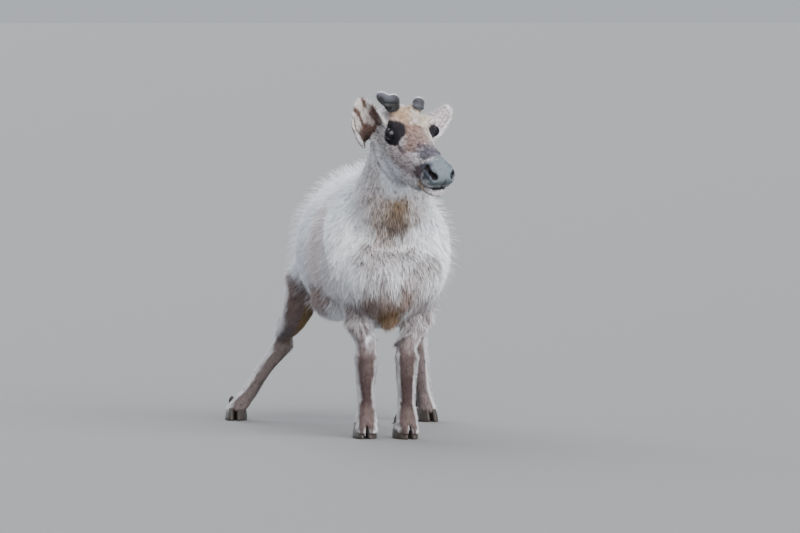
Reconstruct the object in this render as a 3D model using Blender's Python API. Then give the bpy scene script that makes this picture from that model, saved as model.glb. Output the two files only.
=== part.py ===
"""A Svalbard reindeer, life size and still, standing with its hind legs straddled.

Metres, +Z up, the floor at zero. The animal looks along -Y and its own left is +X. While it is
modelled the middle of the forefeet is the origin. The last step moves the whole animal so that
the middle of its bounding box stands over the origin.

The flesh is modelled whole, out to the tips of the coat: lofts for the trunk, neck, head and
limbs are fused by a voxel remesh, thinned to a light mesh, and then parted by thin cuts into
the pieces that a person would name. Eyes, antler buds, hooves and dewclaws are solids of their
own that sit in seats cut for them.
"""
import math

import bmesh
import bpy
import numpy as np
from mathutils import Matrix, Vector

# Driving sizes of the standing animal.
WITHERS = 0.822
BACK = 0.797
BELLY = 0.325
BARREL_HALF_WIDTH = 0.200
CHEST_FRONT = -0.130
BUTTOCK = 0.865

# The head: its crown between the antler buds, its length from there to the nose, and its turn.
CROWN = Vector((-0.002, -0.240, 1.008))
HEAD_LENGTH = 0.300
HEAD_TURN = math.radians(20.0)
HEAD_PITCH = math.radians(40.0)
HEAD_ROLL = math.radians(4.0)
EYE_RADIUS = 0.0180
EYE_AT = (0.086, 0.0710, -0.040)
BUD_RADIUS = 0.0200

# The feet on the floor, and the joints above them, as (x, y, z).
CARPUS_HEIGHT = 0.245
HOCK_HEIGHT = 0.262
CORONET = 0.040
FORE_FEET = {"left": Vector((0.044, -0.024, 0.0)), "right": Vector((-0.073, 0.012, 0.0))}
HIND_FEET = {"left": Vector((0.252, 0.700, 0.0)), "right": Vector((-0.322, 0.868, 0.0))}
HOCKS = {"left": Vector((0.226, 0.712, HOCK_HEIGHT)), "right": Vector((-0.184, 0.795, 0.250))}

# Gaps and fineness.
GAP = 0.0003
CUT = 0.0004
VOXEL = 0.0050
EAR_VOXEL = 0.0030
FLESH_TRIANGLES = 3500
EAR_TRIANGLES = 290
RING_SIDES = 20

SIDES = {"left": 1.0, "right": -1.0}

for left_over in list(bpy.data.objects):
    bpy.data.objects.remove(left_over)

# The head's own axes: forward down the face, out to its left, and up off the forehead.
FACE = Vector((math.sin(HEAD_TURN) * math.cos(HEAD_PITCH),
               -math.cos(HEAD_TURN) * math.cos(HEAD_PITCH), -math.sin(HEAD_PITCH)))
LEVEL = Vector((math.cos(HEAD_TURN), math.sin(HEAD_TURN), 0.0))
LEFTWARD = Matrix.Rotation(HEAD_ROLL, 3, FACE) @ LEVEL
BROW = FACE.cross(LEFTWARD).normalized()


def on_head(along, out, up):
    """The world point at a place on the head: along the face, out to its left, up off it."""
    return CROWN + FACE * along + LEFTWARD * out + BROW * up


def material(name, colour, roughness):
    """A plain Principled finish for one kind of surface."""
    finish = bpy.data.materials.new(name)
    finish.use_nodes = True
    shader = finish.node_tree.nodes["Principled BSDF"]
    shader.inputs["Base Color"].default_value = (*colour, 1.0)
    shader.inputs["Roughness"].default_value = roughness
    shader.inputs["Metallic"].default_value = 0.0
    return finish


COAT = material("coat_pale", (0.62, 0.60, 0.58), 0.9)
LEG_COAT = material("coat_leg", (0.30, 0.26, 0.25), 0.9)
EYE = material("eye_dark", (0.02, 0.015, 0.012), 0.08)
VELVET = material("antler_velvet", (0.10, 0.09, 0.09), 0.85)
HORN = material("hoof_horn", (0.05, 0.045, 0.04), 0.45)


def add_mesh(name, mesh, finish=None):
    """A new object in the scene for a finished mesh."""
    thing = bpy.data.objects.new(name, mesh)
    bpy.context.scene.collection.objects.link(thing)
    if finish is not None:
        mesh.materials.clear()
        mesh.materials.append(finish)
    return thing


def mesh_of(shape, name):
    """Turns a bmesh into a mesh whose faces point outwards."""
    shape.normal_update()
    bmesh.ops.recalc_face_normals(shape, faces=shape.faces)
    mesh = bpy.data.meshes.new(name)
    shape.to_mesh(mesh)
    shape.free()
    return mesh


def smooth_rows(stations, steps):
    """Catmull-Rom rows through the stations, with some steps between each pair."""
    rows = np.array(stations, dtype=float)
    padded = np.vstack([2 * rows[0] - rows[1], rows, 2 * rows[-1] - rows[-2]])
    found = []
    for first in range(len(rows) - 1):
        a, b, c, d = padded[first:first + 4]
        for step in range(steps):
            t = step / steps
            found.append(0.5 * (2 * b + (c - a) * t + (2 * a - 5 * b + 4 * c - d) * t ** 2
                                + (3 * b - a - 3 * c + d) * t ** 3))
    found.append(rows[-1])
    return np.array(found)


def loft(name, stations, side, top=Vector((0, 0, 1)), steps=4, sides=RING_SIDES):
    """A closed body through oval rings.

    Each station is (x, y, z, half width, rise, drop, roof): the ring's centre, its reach along
    the side axis, its reach towards the top and away from it, and how far its upper half
    narrows to a ridge, with 1 for an oval.
    """
    rows = smooth_rows(stations, steps)
    centres = [Vector(row[:3]) for row in rows]
    shape = bmesh.new()
    rings = []
    for index, (centre, row) in enumerate(zip(centres, rows)):
        ahead = centres[min(index + 1, len(rows) - 1)] - centres[max(index - 1, 0)]
        ahead.normalize()
        across = (side - ahead * side.dot(ahead)).normalized()
        up = across.cross(ahead).normalized()
        if up.dot(top) < 0.0:
            up.negate()
        half_width, rise, drop, roof = np.maximum(row[3:], 0.001)
        ring = []
        for corner in range(sides):
            turn = math.tau * corner / sides
            flat, tall = math.cos(turn), math.sin(turn)
            power = roof if tall > 0 else 1.0
            reach = half_width * math.copysign(abs(flat) ** power, flat)
            height = (rise if tall > 0 else drop) * tall
            ring.append(shape.verts.new(centre + across * reach + up * height))
        rings.append(ring)
    for one, two in zip(rings, rings[1:]):
        for corner in range(sides):
            following = (corner + 1) % sides
            shape.faces.new((one[corner], one[following], two[following], two[corner]))
    for ring in (rings[0], rings[-1]):
        middle = shape.verts.new(sum((v.co for v in ring), Vector()) / sides)
        for corner in range(sides):
            shape.faces.new((ring[corner], ring[(corner + 1) % sides], middle))
    return add_mesh(name, mesh_of(shape, name))


def ball(name, centre, radii, axes=None, segments=20, rings=12):
    """An ellipsoid with its three radii along three axes, the world's unless others are given."""
    turn = Matrix.Identity(3) if axes is None else Matrix(axes).transposed()
    shape = bmesh.new()
    bmesh.ops.create_uvsphere(shape, u_segments=segments, v_segments=rings, radius=1.0)
    for vert in shape.verts:
        vert.co = centre + turn @ Vector(c * r for c, r in zip(vert.co, radii))
    return add_mesh(name, mesh_of(shape, name))


HEAD_AXES = (LEFTWARD, FACE, BROW)


# The trunk: the barrel from the chest to the buttocks, roof-shaped over the hips.
def make_trunk():
    def row(y, top, low, half_width, roof):
        middle = low + 0.43 * (top - low)
        return (0.0, y, middle, half_width, top - middle, middle - low, roof)

    wide = BARREL_HALF_WIDTH
    stations = [
        row(CHEST_FRONT, 0.655, 0.490, 0.50 * wide, 1.0),
        row(CHEST_FRONT + 0.025, 0.705, 0.425, 0.65 * wide, 1.0),
        row(-0.050, 0.755, 0.352, 0.80 * wide, 1.0),
        row(0.030, WITHERS - 0.015, 0.322, 0.90 * wide, 1.0),
        row(0.120, WITHERS, 0.326, 0.95 * wide, 1.0),
        row(0.250, BACK + 0.006, BELLY + 0.005, 0.99 * wide, 1.05),
        row(0.400, BACK - 0.004, BELLY, wide, 1.08),
        row(0.520, BACK - 0.002, BELLY + 0.018, 0.97 * wide, 1.15),
        row(0.640, BACK - 0.012, BELLY + 0.068, 0.86 * wide, 1.25),
        row(0.740, BACK - 0.044, BELLY + 0.135, 0.70 * wide, 1.25),
        row(0.820, BACK - 0.090, BELLY + 0.200, 0.48 * wide, 1.15),
        row(BUTTOCK, BACK - 0.145, BELLY + 0.255, 0.24 * wide, 1.0),
    ]
    return loft("form_trunk", stations, Vector((1, 0, 0)), sides=28)


# The neck: deep and maned at its root, rising steeply to the back of the head.
def make_neck():
    root = Vector((0.0, 0.090, 0.620))
    head_end = on_head(0.000, 0.0, -0.085)
    stations = [
        (*root, 0.160, 0.160, 0.190, 1.0),
        (0.000, -0.010, 0.700, 0.130, 0.125, 0.150, 1.0),
        (-0.004, -0.082, 0.790, 0.099, 0.098, 0.118, 1.0),
        (-0.010, -0.138, 0.868, 0.083, 0.084, 0.100, 1.0),
        (*(head_end - FACE * 0.012 - BROW * 0.012), 0.073, 0.070, 0.084, 1.0),
        (*(head_end + FACE * 0.030), 0.060, 0.056, 0.066, 1.0),
    ]
    return loft("form_neck", stations, Vector((1, 0, 0)), Vector((0, 0.6, 1.0)))


# The head: skull and muzzle as one loft, the jaw under it, and the rises that shape the face.
def make_head():
    def row(along, half_width, top, low, roof=1.0):
        middle = low + 0.52 * (top - low)
        return (*on_head(along, 0.0, middle), half_width, top - middle, middle - low, roof)

    skull = [
        row(-0.055, 0.030, -0.050, -0.110),
        row(-0.040, 0.050, -0.036, -0.135),
        row(-0.010, 0.063, -0.018, -0.158),
        row(0.030, 0.071, -0.007, -0.168),
        row(0.080, 0.076, -0.003, -0.165),
        row(0.125, 0.065, -0.006, -0.150),
        row(0.170, 0.054, -0.009, -0.128),
        row(0.215, 0.048, -0.007, -0.112),
        row(0.250, 0.044, -0.008, -0.096),
        row(0.280, 0.044, -0.008, -0.083),
        row(0.298, 0.039, -0.015, -0.077),
        row(HEAD_LENGTH + 0.006, 0.026, -0.028, -0.070),
    ]
    jaw = [
        row(0.040, 0.044, -0.090, -0.190),
        row(0.090, 0.050, -0.085, -0.194),
        row(0.150, 0.045, -0.080, -0.176),
        row(0.205, 0.038, -0.080, -0.158),
        row(0.245, 0.034, -0.085, -0.141),
        row(0.276, 0.031, -0.085, -0.128),
        row(0.296, 0.022, -0.083, -0.114),
    ]
    forms = [loft("form_skull", skull, LEFTWARD, BROW), loft("form_jaw", jaw, LEFTWARD, BROW)]
    along, out, up = EYE_AT
    for side, sign in SIDES.items():
        at = lambda a, o, u: on_head(a, sign * o, u)
        root_up = EARS[side][0][2]
        forms += [
            ball(f"form_orbit_{side}", at(along - 0.006, out - 0.010, up + 0.004),
                 (0.0180, 0.031, 0.029), HEAD_AXES),
            ball(f"form_brow_{side}", at(along - 0.018, out - 0.018, up + 0.022),
                 (0.024, 0.030, 0.016), HEAD_AXES),
            ball(f"form_cheek_{side}", at(0.085, 0.036, -0.112), (0.030, 0.052, 0.046), HEAD_AXES),
            ball(f"form_nostril_{side}", at(0.277, 0.022, -0.026), (0.021, 0.023, 0.020), HEAD_AXES),
            ball(f"form_lip_{side}", at(0.268, 0.024, -0.068), (0.019, 0.032, 0.018), HEAD_AXES),
            ball(f"form_pedicle_{side}", at(0.014, 0.034, -0.014), (0.021, 0.022, 0.018), HEAD_AXES),
            loft(f"form_ear_root_{side}",
                 [(*at(0.000, 0.036, root_up + 0.006), 0.030, 0.028, 0.028, 1.0),
                  (*at(-0.002, 0.056, root_up), 0.027, 0.027, 0.027, 1.0),
                  (*at(-0.003, 0.074, root_up), 0.020, 0.020, 0.020, 1.0)], FACE, BROW, sides=14),
        ]
    return forms


# Each ear is a rolled leaf on its root: its spine rises and bends, its two edges curl forward.
# An ear is (root along, out, up), the way it rises, the way its hollow faces, its length, its
# half width and how far its root has opened.
EARS = {
    "left": ((-0.002, 0.072, -0.074), (0.95, 0.15, -0.28), (0.40, -0.85, 0.05), 0.120, 0.0420, 0.38),
    "right": ((0.000, 0.067, -0.130), (0.42, 0.86, -0.28), (0.35, 0.30, 0.88), 0.138, 0.0460, 0.12),
}
EAR_WALL = 0.0085
ROOT_ROLL, TIP_ROLL = 106.0, 66.0


def head_way(out, up, along):
    """A direction given on the head's own axes."""
    return (LEFTWARD * out + BROW * up + FACE * along).normalized()


def make_ear(side, sign):
    """A thin rolled leaf, wrapped into a tube at its root and opening towards its tip."""
    (along, out, up), rise, hollow, ear_length, half_width, opened = EARS[side]
    root = on_head(along, sign * out, up)
    spine = head_way(sign * rise[0], rise[1], rise[2])
    mouth = head_way(sign * hollow[0], hollow[1], hollow[2])
    mouth = (mouth - spine * mouth.dot(spine)).normalized()
    across = spine.cross(mouth).normalized()
    lengths, columns = 14, 14
    shape = bmesh.new()
    grid = []
    for row in range(lengths + 1):
        t = row / lengths
        leaf = half_width * math.sin(math.pi * min(1.0, opened + (1.0 - opened) * t ** 0.88)) ** 0.52 + 0.004
        roll = math.radians(ROOT_ROLL - (ROOT_ROLL - TIP_ROLL) * min(1.0, t * 1.25))
        centre = root + spine * (ear_length * t) + mouth * (0.010 * math.sin(math.pi * t))
        radius = leaf / math.sin(min(roll, math.pi / 2))
        line = []
        for column in range(columns + 1):
            turn = roll * (2.0 * column / columns - 1.0)
            bow = radius * (1.0 - math.cos(turn))
            line.append(shape.verts.new(centre + across * (radius * math.sin(turn)) + mouth * bow))
        grid.append(line)
    for one, two in zip(grid, grid[1:]):
        for a, b, c, d in zip(one, one[1:], two[1:], two):
            shape.faces.new((a, b, c, d))
    ear = add_mesh(f"form_ear_{side}", mesh_of(shape, "form_ear"))
    wall = ear.modifiers.new("Wall", "SOLIDIFY")
    wall.thickness = EAR_WALL
    wall.offset = 0.0
    wall.use_even_offset = False
    return fuse([ear], EAR_TRIANGLES, EAR_VOXEL)


def grown(thing, by):
    """A copy of an object, a little larger all round."""
    copy = add_mesh("cutter_grown", thing.data.copy())
    for vert in copy.data.vertices:
        vert.co += vert.normal * by
    return copy


# The legs, each a loft from inside the trunk down to the coronet.
def make_foreleg(side, sign):
    """A foreleg, almost straight, with its wrist, cannon, fetlock and pastern."""
    foot = FORE_FEET[side]
    knee = Vector((foot.x, foot.y - 0.004, CARPUS_HEIGHT))
    stations = [
        (sign * 0.105, 0.040, 0.600, 0.075, 0.105, 0.090, 1.0),
        (sign * 0.112, 0.036, 0.500, 0.068, 0.095, 0.085, 1.0),
        (sign * 0.098, 0.030, 0.420, 0.052, 0.064, 0.060, 1.0),
        (0.5 * (sign * 0.090 + knee.x), 0.014 + 0.5 * foot.y, 0.335, 0.040, 0.046, 0.046, 1.0),
        (knee.x, knee.y, CARPUS_HEIGHT + 0.030, 0.0345, 0.037, 0.037, 1.0),
        (knee.x, knee.y, CARPUS_HEIGHT - 0.008, 0.0325, 0.036, 0.038, 1.0),
        (foot.x, foot.y + 0.004, 0.185, 0.0290, 0.031, 0.033, 1.0),
        (foot.x, foot.y + 0.006, 0.125, 0.0235, 0.026, 0.028, 1.0),
        (foot.x, foot.y + 0.008, 0.092, 0.0245, 0.027, 0.034, 1.0),
        (foot.x, foot.y - 0.004, 0.062, 0.0265, 0.028, 0.036, 1.0),
        (foot.x, foot.y - 0.006, 0.036, 0.0300, 0.032, 0.036, 1.0),
        (foot.x, foot.y - 0.006, 0.020, 0.0300, 0.032, 0.034, 1.0),
    ]
    return loft(f"form_foreleg_{side}", stations, Vector((1, 0, 0)), Vector((0, -1, 0)))


def make_hindleg(side, sign):
    """A hind leg: the thigh, the stifle, the hock with its heel, and the cannon down to the foot."""
    foot = HIND_FEET[side]
    hock = HOCKS[side]
    stifle = Vector((sign * 0.150, hock.y - 0.205, 0.425))
    fetlock = hock.lerp(foot, 0.77)
    fetlock.z = 0.078
    stations = [
        (sign * 0.062, 0.700, 0.640, 0.055, 0.100, 0.110, 1.0),
        (sign * 0.084, 0.672, 0.550, 0.066, 0.125, 0.125, 1.0),
        (sign * 0.124, 0.640, 0.475, 0.064, 0.110, 0.105, 1.0),
        (*stifle.lerp(hock, 0.30), 0.052, 0.078, 0.072, 1.0),
        (*stifle.lerp(hock, 0.62), 0.040, 0.052, 0.048, 1.0),
        (*(hock + Vector((0, -0.010, 0.032))), 0.032, 0.038, 0.036, 1.0),
        (*(hock + Vector((0, 0.004, -0.010))), 0.0295, 0.034, 0.034, 1.0),
        (*hock.lerp(fetlock, 0.45), 0.0235, 0.028, 0.027, 1.0),
        (*hock.lerp(fetlock, 0.80), 0.0225, 0.026, 0.027, 1.0),
        (*fetlock, 0.0245, 0.028, 0.031, 1.0),
        (*(foot.lerp(fetlock, 0.28) + Vector((0, -0.008, 0.030))), 0.0255, 0.028, 0.032, 1.0),
        (foot.x, foot.y - 0.006, 0.034, 0.0285, 0.030, 0.033, 1.0),
        (foot.x, foot.y - 0.006, 0.020, 0.0285, 0.030, 0.032, 1.0),
    ]
    outward = Vector((1.0, 0.0, 0.25 * sign))
    leg = loft(f"form_hindleg_{side}", stations, outward, Vector((0, -1, 0)))
    heel = ball(f"form_hock_{side}", hock + Vector((-0.010 * sign, 0.030, 0.034)),
                (0.020, 0.022, 0.034), segments=14, rings=10)
    return [leg, heel]


def make_shoulder(side, sign):
    """The shoulder blade's long mass, from the withers forward and down to its point."""
    stations = [
        (sign * 0.066, 0.150, 0.715, 0.048, 0.055, 0.055, 1.0),
        (sign * 0.118, 0.090, 0.640, 0.062, 0.080, 0.080, 1.0),
        (sign * 0.128, 0.010, 0.540, 0.058, 0.078, 0.078, 1.0),
        (sign * 0.118, 0.030, 0.455, 0.050, 0.070, 0.070, 1.0),
    ]
    return loft(f"form_shoulder_{side}", stations, Vector((1, 0, 0)), Vector((0, -1, 0)))


def make_tail():
    stations = [
        (0.0, BUTTOCK - 0.080, 0.672, 0.038, 0.032, 0.032, 1.0),
        (0.0, BUTTOCK - 0.006, 0.664, 0.036, 0.027, 0.027, 1.0),
        (0.0, BUTTOCK + 0.044, 0.634, 0.035, 0.023, 0.023, 1.0),
        (0.0, BUTTOCK + 0.070, 0.584, 0.030, 0.019, 0.019, 1.0),
        (0.0, BUTTOCK + 0.076, 0.546, 0.013, 0.011, 0.011, 1.0),
    ]
    return loft("form_tail", stations, Vector((1, 0, 0)), Vector((0, 1, 0)), sides=14)


def make_flank(side, sign):
    """The long belly coat that hangs beside the belly and fills the barrel's low corner."""
    return ball(f"form_flank_{side}", Vector((sign * 0.108, 0.270, 0.418)), (0.080, 0.200, 0.082))


def make_chest_tuft():
    """The fringe that hangs between the forelegs."""
    stations = [
        (-0.006, -0.080, 0.500, 0.070, 0.050, 0.060, 1.0),
        (-0.009, -0.056, 0.400, 0.046, 0.046, 0.060, 1.0),
        (-0.014, -0.038, 0.346, 0.032, 0.034, 0.036, 1.0),
        (-0.014, -0.032, 0.326, 0.018, 0.018, 0.018, 1.0),
    ]
    return loft("form_chest_tuft", stations, Vector((1, 0, 0)), Vector((0, -1, 0)), sides=16)


def evaluated(thing):
    """A plain mesh of an object with its modifiers applied."""
    graph = bpy.context.evaluated_depsgraph_get()
    return bpy.data.meshes.new_from_object(thing.evaluated_get(graph))


def drop(things):
    for thing in things:
        bpy.data.objects.remove(thing)


def fuse(forms, triangles, voxel):
    """One closed skin round all the forms, smoothed and thinned."""
    joined = bmesh.new()
    for form in forms:
        mesh = evaluated(form)
        joined.from_mesh(mesh)
        bpy.data.meshes.remove(mesh)
    mesh = bpy.data.meshes.new("flesh")
    joined.to_mesh(mesh)
    joined.free()
    drop(forms)
    flesh = add_mesh("flesh", mesh)
    skin = flesh.modifiers.new("Skin", "REMESH")
    skin.mode = "VOXEL"
    skin.voxel_size = voxel
    relax = flesh.modifiers.new("Relax", "SMOOTH")
    relax.factor = 0.5
    relax.iterations = 6
    count = sum(len(face.vertices) - 2 for face in evaluated(flesh).polygons)
    thin = flesh.modifiers.new("Thin", "DECIMATE")
    thin.ratio = triangles / count
    thin.use_collapse_triangulate = True
    result = add_mesh("flesh_light", evaluated(flesh))
    drop([flesh])
    return result


def carve(body, cutter):
    """Takes a cutter out of a body, and leaves the cutter out of the model."""
    cutter.hide_render = True
    cutter.display_type = "WIRE"
    cut = body.modifiers.new("Cut", "BOOLEAN")
    cut.operation = "DIFFERENCE"
    cut.object = cutter
    mesh = evaluated(body)
    body.modifiers.clear()
    old = body.data
    body.data = mesh
    bpy.data.meshes.remove(old)
    drop([cutter])


def disc(centre, normal, radius):
    """A thin round cutter that parts a limb across its length."""
    turn = normal.to_track_quat("Z", "Y").to_matrix()
    shape = bmesh.new()
    bmesh.ops.create_cone(shape, cap_ends=True, segments=24, radius1=radius, radius2=radius,
                          depth=CUT)
    for vert in shape.verts:
        vert.co = centre + turn @ vert.co
    return add_mesh("cutter_disc", mesh_of(shape, "cutter_disc"))


def nostril_cutter(sign):
    """A comma-shaped hollow that runs from the muzzle's side down and in to its front."""
    long_way = head_way(sign * -0.45, -0.50, 0.74)
    deep_way = head_way(sign * 0.62, 0.35, 0.62)
    wide_way = long_way.cross(deep_way).normalized()
    deep_way = wide_way.cross(long_way).normalized()
    return ball("cutter_nostril", on_head(0.287, sign * 0.0300, -0.0210),
                (0.0150, 0.0100, 0.0055), (long_way, deep_way, wide_way), segments=10, rings=7)


def mouth_cutter():
    """A thin wedge from the corners of the mouth to its front, a little open there."""
    corner, front = (0.234, -0.1060), (0.330, -0.0640)
    opening = 0.0110
    half_width = 0.062
    shape = bmesh.new()
    for out in (-half_width, half_width):
        ring = [shape.verts.new(on_head(corner[0], out, corner[1])),
                shape.verts.new(on_head(front[0], out, front[1] + 0.5 * opening)),
                shape.verts.new(on_head(front[0], out, front[1] - 0.5 * opening))]
        shape.faces.new(ring)
    shape.verts.ensure_lookup_table()
    for one in range(3):
        two = (one + 1) % 3
        shape.faces.new([shape.verts[i] for i in (one, two, two + 3, one + 3)])
    return add_mesh("cutter_mouth", mesh_of(shape, "cutter_mouth"))


# The solids that aren't flesh.
def make_eye(side, sign):
    along, out, up = EYE_AT
    return ball(f"eye_{side}", on_head(along, sign * out, up), (EYE_RADIUS,) * 3, HEAD_AXES,
                segments=16, rings=10)


BUD_LEAN = {
    "left": ((0.020, 0.038, -0.004), (0.34, 0.74, -0.56), (0.20, 0.50, -0.84), 0.036),
    "right": ((0.016, 0.038, -0.004), (0.60, 0.72, -0.36), (0.94, 0.34, -0.16), 0.084),
}


FORK_WAY, FORK_LENGTH, FORKED_TRIANGLES = (0.38, 0.88, -0.20), 0.047, 260


def make_bud(side, sign):
    """A blunt velvet stub that bends over as it grows."""
    (along, out, up), start, finish, length = BUD_LEAN[side]
    base = on_head(along, sign * out, up - 0.006)
    first = head_way(sign * start[0], start[1], start[2])
    last = head_way(sign * finish[0], finish[1], finish[2])
    radii = (1.00, 1.02, 0.95, 0.93, 0.97, 1.00, 0.94, 0.72, 0.22)
    stations = []
    place = base.copy()
    for index, share in enumerate(radii):
        t = index / (len(radii) - 1)
        radius = BUD_RADIUS * share * (1.0 - 0.12 * t)
        stations.append((*place, radius, radius, radius, 1.0))
        place = place + first.lerp(last, t).normalized() * (length / (len(radii) - 1))
    return loft(f"antler_bud_{side}", stations, FACE, BROW, steps=1, sides=11)


def make_forked_bud(side, sign):
    """A bud that has begun to fork: one lobe leans out and the other stands up."""
    along, out, up = BUD_LEAN[side][0]
    stub = make_bud(side, sign)
    rise = head_way(sign * FORK_WAY[0], FORK_WAY[1], FORK_WAY[2])
    stations = []
    for share, radius in ((0.0, 0.017), (0.35, 0.020), (0.70, 0.021), (0.92, 0.015), (1.0, 0.005)):
        place = on_head(along, sign * out, up) + rise * (FORK_LENGTH * share)
        stations.append((*place, radius, radius, radius, 1.0))
    lobe = loft("form_fork", stations, FACE, LEFTWARD, sides=14)
    saddle = on_head(along, sign * out, up) + rise * (0.62 * FORK_LENGTH) + LEFTWARD * (sign * 0.016)
    bridge = ball("form_saddle", saddle, (0.020, 0.018, 0.017), HEAD_AXES, segments=14, rings=10)
    bud = fuse([stub, lobe, bridge], FORKED_TRIANGLES, 0.0030)
    bud.name = bud.data.name = f"antler_bud_{side}"
    return bud


def make_hoof(name, foot, turn, scale):
    """Two claws, each curved in at its toe, joined at the heel. The soles lie flat on the floor."""
    levels = ((0.000, 1.00, 0.000), (0.007, 1.03, 0.001), (0.024, 0.97, 0.005),
              (CORONET - GAP, 0.86, 0.009))
    outline = ((0.0020, 0.038), (0.0024, -0.008), (0.0030, -0.034), (0.0060, -0.051),
               (0.0130, -0.056), (0.0230, -0.046), (0.0320, -0.024), (0.0360, 0.000),
               (0.0345, 0.020), (0.0260, 0.034), (0.0120, 0.040))
    spin = Matrix.Rotation(turn, 3, "Z")
    claws = []
    for sign in (-1.0, 1.0):
        shape = bmesh.new()
        rings = []
        for height, share, back in levels:
            rings.append([shape.verts.new(
                foot + spin @ (Vector((sign * (0.0018 + (x - 0.0018) * share), y * share + back,
                                       0.0)) * scale) + Vector((0.0, 0.0, height)))
                for x, y in outline])
        count = len(outline)
        for one, two in zip(rings, rings[1:]):
            for corner in range(count):
                following = (corner + 1) % count
                shape.faces.new((one[corner], one[following], two[following], two[corner]))
        shape.faces.new(rings[0])
        shape.faces.new(rings[-1])
        claws.append(add_mesh("claw", mesh_of(shape, "claw")))
    low, high = foot.z + 0.0045, foot.z + CORONET - 0.0045
    shape = bmesh.new()
    bmesh.ops.create_cube(shape, size=1.0)
    for vert in shape.verts:
        x, y, z = vert.co
        flat = spin @ (Vector((x * 0.022, 0.024 + y * 0.022, 0.0)) * scale)
        vert.co = foot + flat + Vector((0.0, 0.0, low + (z + 0.5) * (high - low)))
    bridge = add_mesh("bridge", mesh_of(shape, "bridge"))
    hoof = claws[0]
    hoof.name = name
    for other in (bridge, claws[1]):
        join = hoof.modifiers.new("Join", "BOOLEAN")
        join.operation = "UNION"
        join.object = other
    mesh = evaluated(hoof)
    drop([hoof, bridge, claws[1]])
    return add_mesh(name, mesh, HORN)


def dewclaw_shape(name, foot, turn, sign, grow=0.0):
    """One small claw behind the pastern, pointing down and back."""
    spin = Matrix.Rotation(turn, 3, "Z")
    centre = foot + spin @ Vector((sign * 0.0175, 0.031, CORONET + 0.0180))
    lean = (spin @ Vector((sign * 0.16, 0.42, -0.90))).normalized()
    side = (spin @ Vector((1, 0, 0)))
    side = (side - lean * side.dot(lean)).normalized()
    axes = (side, side.cross(lean) * -1.0, lean)
    radii = (0.0085 + grow, 0.0085 + grow, 0.0175 + grow)
    return ball(name, centre, radii, axes, segments=8, rings=6)


def nearest_piece(pieces, place):
    """The piece whose middle comes nearest a point."""
    def distance(piece):
        middle = np.mean([vert.co for vert in piece.data.vertices], axis=0)
        return float(np.linalg.norm(middle - np.array(place)))
    return min(pieces, key=distance)


def part_loose(body):
    """Every separate shell of a body as its own object."""
    whole = bmesh.new()
    whole.from_mesh(body.data)
    whole.verts.ensure_lookup_table()
    shell = [-1] * len(whole.verts)
    shells = 0
    for start in whole.verts:
        if shell[start.index] >= 0:
            continue
        queue = [start]
        shell[start.index] = shells
        while queue:
            for edge in queue.pop().link_edges:
                for vert in edge.verts:
                    if shell[vert.index] < 0:
                        shell[vert.index] = shells
                        queue.append(vert)
        shells += 1
    pieces = []
    for number in range(shells):
        part = whole.copy()
        part.verts.ensure_lookup_table()
        bmesh.ops.delete(part, geom=[v for v in part.verts if shell[v.index] != number],
                         context="VERTS")
        mesh = bpy.data.meshes.new("piece")
        part.to_mesh(mesh)
        part.free()
        pieces.append(add_mesh("piece", mesh))
    whole.free()
    drop([body])
    return pieces


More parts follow.
